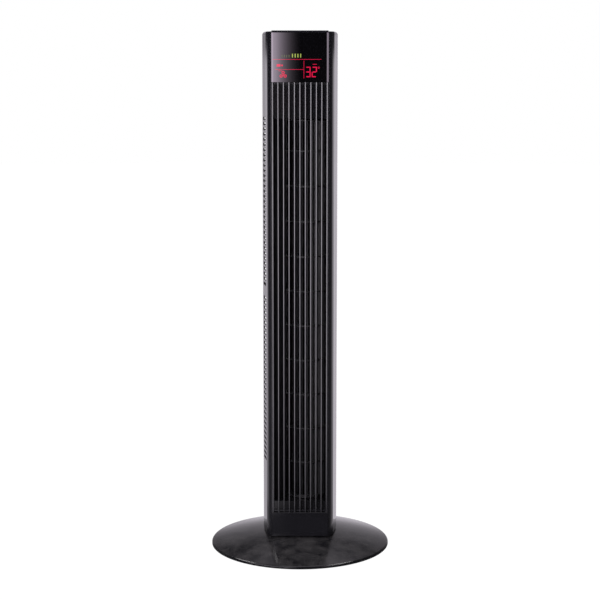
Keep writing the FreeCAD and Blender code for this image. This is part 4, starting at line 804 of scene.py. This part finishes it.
def cut_upright(piece, stations):
    """Cuts a piece at upright planes across its width."""
    edit(piece)
    for station in stations:
        bpy.ops.mesh.select_all(action="SELECT")
        bpy.ops.mesh.bisect(plane_co=(station, 0.0, 0.0), plane_no=(1.0, 0.0, 0.0))
    done()


class FAN_OT_display(bpy.types.Operator):
    """Crowns the display window and lays its lit signs on it"""
    bl_idname = "fan.display"
    bl_label = "Display"

    def execute(self, context):
        front = context.scene.fan_front
        low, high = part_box("display_lens")
        half = high[X]
        edge = half - front.lens_bevel
        stations = [edge * step / 12 for step in range(-12, 13)]

        def fall(x):
            return front.lens_crown * (x / half) ** 2

        lens = block("display_window", low, high)
        cut_upright(lens, stations)
        for vertex in lens.data.vertices:
            if vertex.co.y < low[Y] + NEAR:
                beyond = max(0.0, abs(vertex.co.x) - edge) / front.lens_bevel
                bevelled = fall(edge) + front.lens_bevel_fall
                vertex.co.y += fall(vertex.co.x) * (1 - beyond) + beyond * bevelled
        soften(lens, front.lens_round, angle=50.0)
        smooth(lens, angle=12.0)
        install(lens, finishes["lens"], "display_glass", "display_lens")
        signs = (("display_digits", "digit_sign", "red", "display_red"),
                 ("display_rules", "rule_sign", "red", "display_red"),
                 ("display_fan_icon", "fan_sign", "red", "display_red"),
                 ("display_lit_bars", "lit_bars", "green", "display_green"),
                 ("display_dim_bars", "dim_bars", "dim", "display_dim"))
        for node, name, finish, slot in signs:
            left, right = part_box(node)
            sign = traced(node, name)
            if node == "display_rules":
                cut_upright(sign, [x for x in stations if left[X] + 2 * NEAR < x < right[X] - 2 * NEAR])
            for vertex in sign.data.vertices:
                vertex.co.y += fall(vertex.co.x)
            install(sign, finishes[finish], slot, node)
        return {"FINISHED"}


# Steps down into a button's dish: how far each sinks, and its size against the step before.
BUTTON_DISH = ((0.12 * MM, 0.72), (0.10 * MM, 0.6), (0.05 * MM, 0.4))


class FAN_OT_buttons(bpy.types.Operator):
    """Rounds and dishes the five push buttons"""
    bl_idname = "fan.buttons"
    bl_label = "Buttons"

    def execute(self, context):
        details = context.scene.fan_details
        for node in ("power_button", "speed_button", "mode_button", "timer_button", "swing_button"):
            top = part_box(node)[1][Z]
            button = traced(node, node + "_cap")
            edit(button)
            pick(button, "faces", lambda middle, face: middle.z > top - NEAR / 2 and face.normal.z > 0.9)
            bpy.ops.mesh.inset(thickness=details.button_border, depth=0.0)
            for sink, share in BUTTON_DISH:
                bpy.ops.mesh.extrude_region_move(TRANSFORM_OT_translate={"value": (0.0, 0.0, -sink)})
                bpy.ops.transform.resize(value=(share, share, 1.0))
            done()
            soften(button, details.button_round, segments=3)
            smooth(button)
            install(button, finishes["button"], "button_black", node)
        return {"FINISHED"}


class FAN_OT_inside(bpy.types.Operator):
    """Finishes the impeller, motors, pivot, boards and the cord inlet"""
    bl_idname = "fan.inside"
    bl_label = "Working parts"

    def execute(self, context):
        refinish(finishes["impeller"], "impeller_drum", "impeller_lower_hub", "impeller_top_disc")
        refinish(finishes["satin"], "thrust_washer", "tower_floor", "scroll_wall", "stabiliser", "motor_deck",
                 "duct_top", "display_module", "main_board_parts", "button_switches")
        refinish(finishes["screw"], "coupling_screw", "impeller_top_shaft", "motor_shaft",
                 "swing_motor_shaft", "control_board_screws", "main_board_screws", "motor_screws",
                 "swing_motor_screws")
        refinish(finishes["can"], "motor_can", "motor_cap", "swing_motor", "spindle_nut")
        refinish(finishes["laminated"], "motor_stator")
        refinish(finishes["spindle"], "pivot_spindle", "motor_rotor")
        refinish(finishes["bronze"], "upper_bearing")
        refinish(finishes["nylon"], "swivel_bush", "swing_ring_gear", "swing_pinion")
        refinish(finishes["rubber"], "motor_dampers")
        refinish(finishes["board"], "control_board", "display_board", "main_board")
        gland = traced("cord_gland", "cord_inlet")
        soften(gland, context.scene.fan_details.inlet_round, segments=3)
        smooth(gland)
        install(gland, finishes["rubber"], "rubber", "cord_gland")
        return {"FINISHED"}


# ---------------------------------------------------------------- stage

def softbox(name, place, target, width, height, power):
    """A large soft area lamp that the camera itself doesn't see."""
    bpy.ops.object.select_all(action="DESELECT")
    aim = (Vector(target) - Vector(place)).to_track_quat("-Z", "Y").to_euler()
    bpy.ops.object.light_add(type="AREA", location=place, rotation=aim)
    lamp = bpy.context.object
    lamp.name = name
    lamp.data.shape = "RECTANGLE"
    lamp.data.size = width
    lamp.data.size_y = height
    lamp.data.energy = power
    lamp.data.color = SOFTBOX_TINT
    lamp.visible_camera = False


def ramp(tree, value, steps):
    """A curve through (position, level) steps; both lie between 0 and 1."""
    node = add(tree, "ShaderNodeValToRGB", {0: value})
    elements = node.color_ramp.elements
    elements[0].position, elements[1].position = steps[0][0], steps[-1][0]
    for position, _ in steps[1:-1]:
        elements.new(position)
    for element, (_, level) in zip(elements, steps):
        element.color = (level, level, level, 1.0)
    return node.outputs[0]


def bearing(tree, aim):
    """A direction's bearing as a share of a full turn, a half being straight in front, and its rise."""
    split = add(tree, "ShaderNodeSeparateXYZ", {0: aim}).outputs
    turn = maths(tree, "ARCTAN2", split[0], maths(tree, "MULTIPLY", split[1], -1.0))
    return span(tree, turn, -math.pi, math.pi), split[2]


def past_the_tower(tree, place):
    """A place on the floor as seen from the nearer side of the tower."""
    across, along, _ = add(tree, "ShaderNodeSeparateXYZ", {0: place}).outputs
    beyond = maths(tree, "MAXIMUM", maths(tree, "SUBTRACT", maths(tree, "ABSOLUTE", across), TOWER_HALF), 0.0)
    across = maths(tree, "MULTIPLY", beyond, maths(tree, "SIGN", across))
    return add(tree, "ShaderNodeCombineXYZ", {0: across, 1: maths(tree, "ADD", along, TOWER_HALF)}).outputs[0]


def by_bearing(*steps):
    """Turns (degrees to the right of straight in front, level) steps into steps of a full turn."""
    return [((degrees + 180.0) / 360.0, level) for degrees, level in steps]


TOWER_HALF = 0.058
FLOOR_RADIUS = 9.0
PANEL_LEVEL = 10.0
OVERHEAD_LEVEL = 0.35
UPPER_SHADE = 0.93

# Between which rises the panels end, the floor gives way to the wall, the mirrored panels grow
# shaded, and the ceiling comes in.
PANEL_END = (0.5, 0.72)
SKIRTING = (-0.016, -0.006)
SHADE_START = (0.03, 0.12)
CEILING = (0.5, 1.0)

# How bright the room is by bearing: the panels in front, the wall, the floor, and the floor beside the tower.
PANELS = by_bearing((-75, 0.0), (-60, 0.9), (-30, 1.0), (-10.4, 0.89), (-9.1, 0.67), (-7.3, 0.39),
                    (-5.4, 0.195), (-3.6, 0.076), (-1.8, 0.02), (0, 0.0), (25, 0.0), (29, 0.5), (50, 0.5),
                    (57, 0.0))
WALL = by_bearing((-180, 1.0), (-172, 0.9), (-165, 0.44), (-156, 0.40), (-149, 0.15), (-140, 0.06),
                  (-90, 0.03), (0, 0.03), (90, 0.03), (140, 0.08), (149, 0.20), (156, 0.80), (165, 0.80),
                  (172, 1.0), (180, 1.0))
FLOOR = by_bearing((-180, 0.9), (-155, 0.57), (-120, 0.10), (-95, 0.02), (0, 0.03), (95, 0.02), (120, 0.10),
                   (155, 0.95), (180, 0.9))
FLANKS = by_bearing((-155, 0.0), (-148, 2.1), (-134, 2.1), (-125, 0.0), (125, 0.0), (134, 1.0), (148, 1.0),
                    (155, 0.0))

# How the floor's glow grows with the distance from the tower, and how the wall's changes with its rise.
REACH = ((0.0, 0.0), (0.031, 0.01), (0.040, 0.16), (0.13, 0.5), (0.39, 0.8), (1.0, 1.0))
RISE = ((0.0, 1.0), (0.03, 0.80), (0.14, 0.56), (0.26, 0.44), (0.42, 0.32), (0.45, 0.30), (0.465, 0.10),
        (0.57, 0.20), (0.70, 0.55), (0.85, 0.40), (1.0, 0.34))

# Name, place, target, width, height, and the setting that holds the power.
SOFTBOXES = (("top_softbox", (0.0, -0.6, 2.6), (0.0, 0.0, 0.5), 1.6, 0.9, "top_power"),
             ("left_softbox", (-1.43, 0.06, 1.49), (0.0, 0.0, 0.0), 1.0, 0.3, "side_power"),
             ("right_softbox", (1.11, -0.32, 1.7), (0.0, 0.0, 0.0), 1.0, 0.3, "side_power"))


def studio_world(scene):
    """Tall soft panels in front, dark sides and a pale wall behind; seen directly it is plain white.

    The panels' upper half is shaded where a surface mirrors it straight to the camera, so the flat
    top keeps its shape.
    """
    world = bpy.data.worlds.new("Studio")
    scene.world = world
    world.use_nodes = True
    tree = world.node_tree
    tree.nodes.clear()
    around, rise = bearing(tree, tree.nodes.new("ShaderNodeTexCoord").outputs["Generated"])
    path = tree.nodes.new("ShaderNodeLightPath").outputs
    first = span(tree, path["Ray Depth"], 2.0, 3.0, 1.0, 0.0)
    mirrored = maths(tree, "MULTIPLY", path["Is Glossy Ray"], first)
    shade = maths(tree, "MULTIPLY", mirrored, span(tree, rise, *SHADE_START, 0.0, UPPER_SHADE))
    tall = span(tree, maths(tree, "ABSOLUTE", rise), *PANEL_END, PANEL_LEVEL, 0.0)
    tall = maths(tree, "MULTIPLY", tall, maths(tree, "SUBTRACT", 1.0, shade))
    panels = maths(tree, "MULTIPLY", ramp(tree, around, PANELS), tall)
    low_wall = maths(tree, "ADD", ramp(tree, around, FLOOR), ramp(tree, around, FLANKS))
    low_part = span(tree, rise, *SKIRTING, 1.0, 0.0)
    wall = add(tree, "ShaderNodeMix", {0: low_part, 2: ramp(tree, around, WALL), 3: low_wall}).outputs[0]
    wall = maths(tree, "MULTIPLY", wall, ramp(tree, rise, RISE))
    overhead = span(tree, rise, *CEILING, 0.0, OVERHEAD_LEVEL)
    level = maths(tree, "ADD", maths(tree, "MAXIMUM", wall, overhead), panels)
    reflected = add(tree, "ShaderNodeBackground", {"Color": STUDIO_TINT, "Strength": level})
    plain = add(tree, "ShaderNodeBackground", {"Color": WHITE, "Strength": 1.0})
    inputs = {0: path["Is Camera Ray"], 1: reflected.outputs[0], 2: plain.outputs[0]}
    mixed = add(tree, "ShaderNodeMixShader", inputs)
    add(tree, "ShaderNodeOutputWorld", {0: mixed.outputs[0]})


def floor_finish():
    """A pale sweep that carries the panels' glow in front and stays dark at the sides."""
    made = Finish("PaleSweep", {})
    tree = made.tree
    around, _ = bearing(tree, made.place)
    beside, _ = bearing(tree, past_the_tower(tree, made.place))
    far = add(tree, "ShaderNodeVectorMath", {0: made.place}, operation="LENGTH").outputs["Value"]
    reach = ramp(tree, span(tree, far, 0.0, FLOOR_RADIUS), REACH)
    panels = maths(tree, "MULTIPLY", ramp(tree, around, PANELS), reach)
    panels = maths(tree, "MULTIPLY", panels, PANEL_LEVEL)
    flanks = maths(tree, "MULTIPLY", ramp(tree, beside, FLANKS), reach)
    level = maths(tree, "ADD", panels, maths(tree, "ADD", flanks, ramp(tree, beside, FLOOR)))
    direct = tree.nodes.new("ShaderNodeLightPath").outputs["Is Camera Ray"]
    fibre = span(tree, noise(tree, made.place, 900.0, 2.0, 0.5), 0.3, 0.7)
    made.feed("Base Color", blend_colours(tree, fibre, rgba(WHITE, 0.028), rgba(WHITE, 0.032)))
    made.feed("Emission Color", blend_colours(tree, direct, STUDIO_TINT, WHITE))
    made.feed("Emission Strength", add(tree, "ShaderNodeMix", {0: direct, 2: level, 3: 1.0}).outputs[0])
    made.set(Roughness=0.9, Specular_IOR_Level=0.0)
    return made.material


class FAN_OT_stage(bpy.types.Operator):
    """Sets the camera, the pale floor and the soft light"""
    bl_idname = "fan.stage"
    bl_label = "Camera and studio"

    def execute(self, context):
        scene = context.scene
        studio = scene.fan_studio
        bpy.ops.object.select_all(action="DESELECT")
        bpy.ops.object.camera_add(location=(0.0, -studio.camera_distance, studio.camera_height),
                                  rotation=(math.pi / 2 - studio.camera_tilt, 0.0, 0.0))
        camera = bpy.context.object
        camera.data.lens = studio.lens
        camera.data.sensor_width = 36.0
        scene.camera = camera
        scene.view_settings.view_transform = "Standard"
        bpy.ops.object.select_all(action="DESELECT")
        bpy.ops.mesh.primitive_circle_add(vertices=96, radius=FLOOR_RADIUS, fill_type="NGON",
                                          location=(0.0, 0.0, 0.0))
        floor = named("studio_floor")
        floor.data.materials.append(floor_finish())
        studio_world(scene)
        for *shape, power in SOFTBOXES:
            softbox(*shape, getattr(studio, power))
        return {"FINISHED"}


class FAN_PT_panel(bpy.types.Panel):
    """Sizes, colours and steps of the tower fan"""
    bl_idname = "FAN_PT_panel"
    bl_label = "Tower Fan"
    bl_space_type = "VIEW_3D"
    bl_region_type = "UI"
    bl_category = "Tower Fan"

    def draw(self, context):
        for name in GROUPS:
            group = getattr(context.scene, name)
            box = self.layout.box()
            box.label(text=name.removeprefix("fan_").title())
            for setting in group.bl_rna.properties.keys():
                if setting not in ("rna_type", "name"):
                    box.prop(group, setting)
        for step in STEPS:
            self.layout.operator(step.bl_idname)


GROUPS = {"fan_shell": TowerFanShell, "fan_front": TowerFanFront, "fan_details": TowerFanDetails,
          "fan_colours": TowerFanColours, "fan_studio": TowerFanStudio}
STEPS = (FAN_OT_stage, FAN_OT_base, FAN_OT_rear_shell, FAN_OT_front_frame, FAN_OT_outlet_grille,
         FAN_OT_display, FAN_OT_buttons, FAN_OT_inside)


def register():
    for group in (*GROUPS.values(), *STEPS, FAN_PT_panel):
        bpy.utils.register_class(group)
    for name, group in GROUPS.items():
        setattr(bpy.types.Scene, name, bpy.props.PointerProperty(type=group))


def unregister():
    for name in GROUPS:
        delattr(bpy.types.Scene, name)
    for group in (FAN_PT_panel, *reversed(STEPS), *reversed(GROUPS.values())):
        bpy.utils.unregister_class(group)


def main():
    register()
    finishes.update(make_finishes(bpy.context.scene.fan_colours))
    for step in STEPS:
        area, name = step.bl_idname.split(".")
        if getattr(getattr(bpy.ops, area), name)() != {"FINISHED"}:
            raise RuntimeError(f"{step.bl_label} did not finish")


if __name__ == "__main__":
    main()
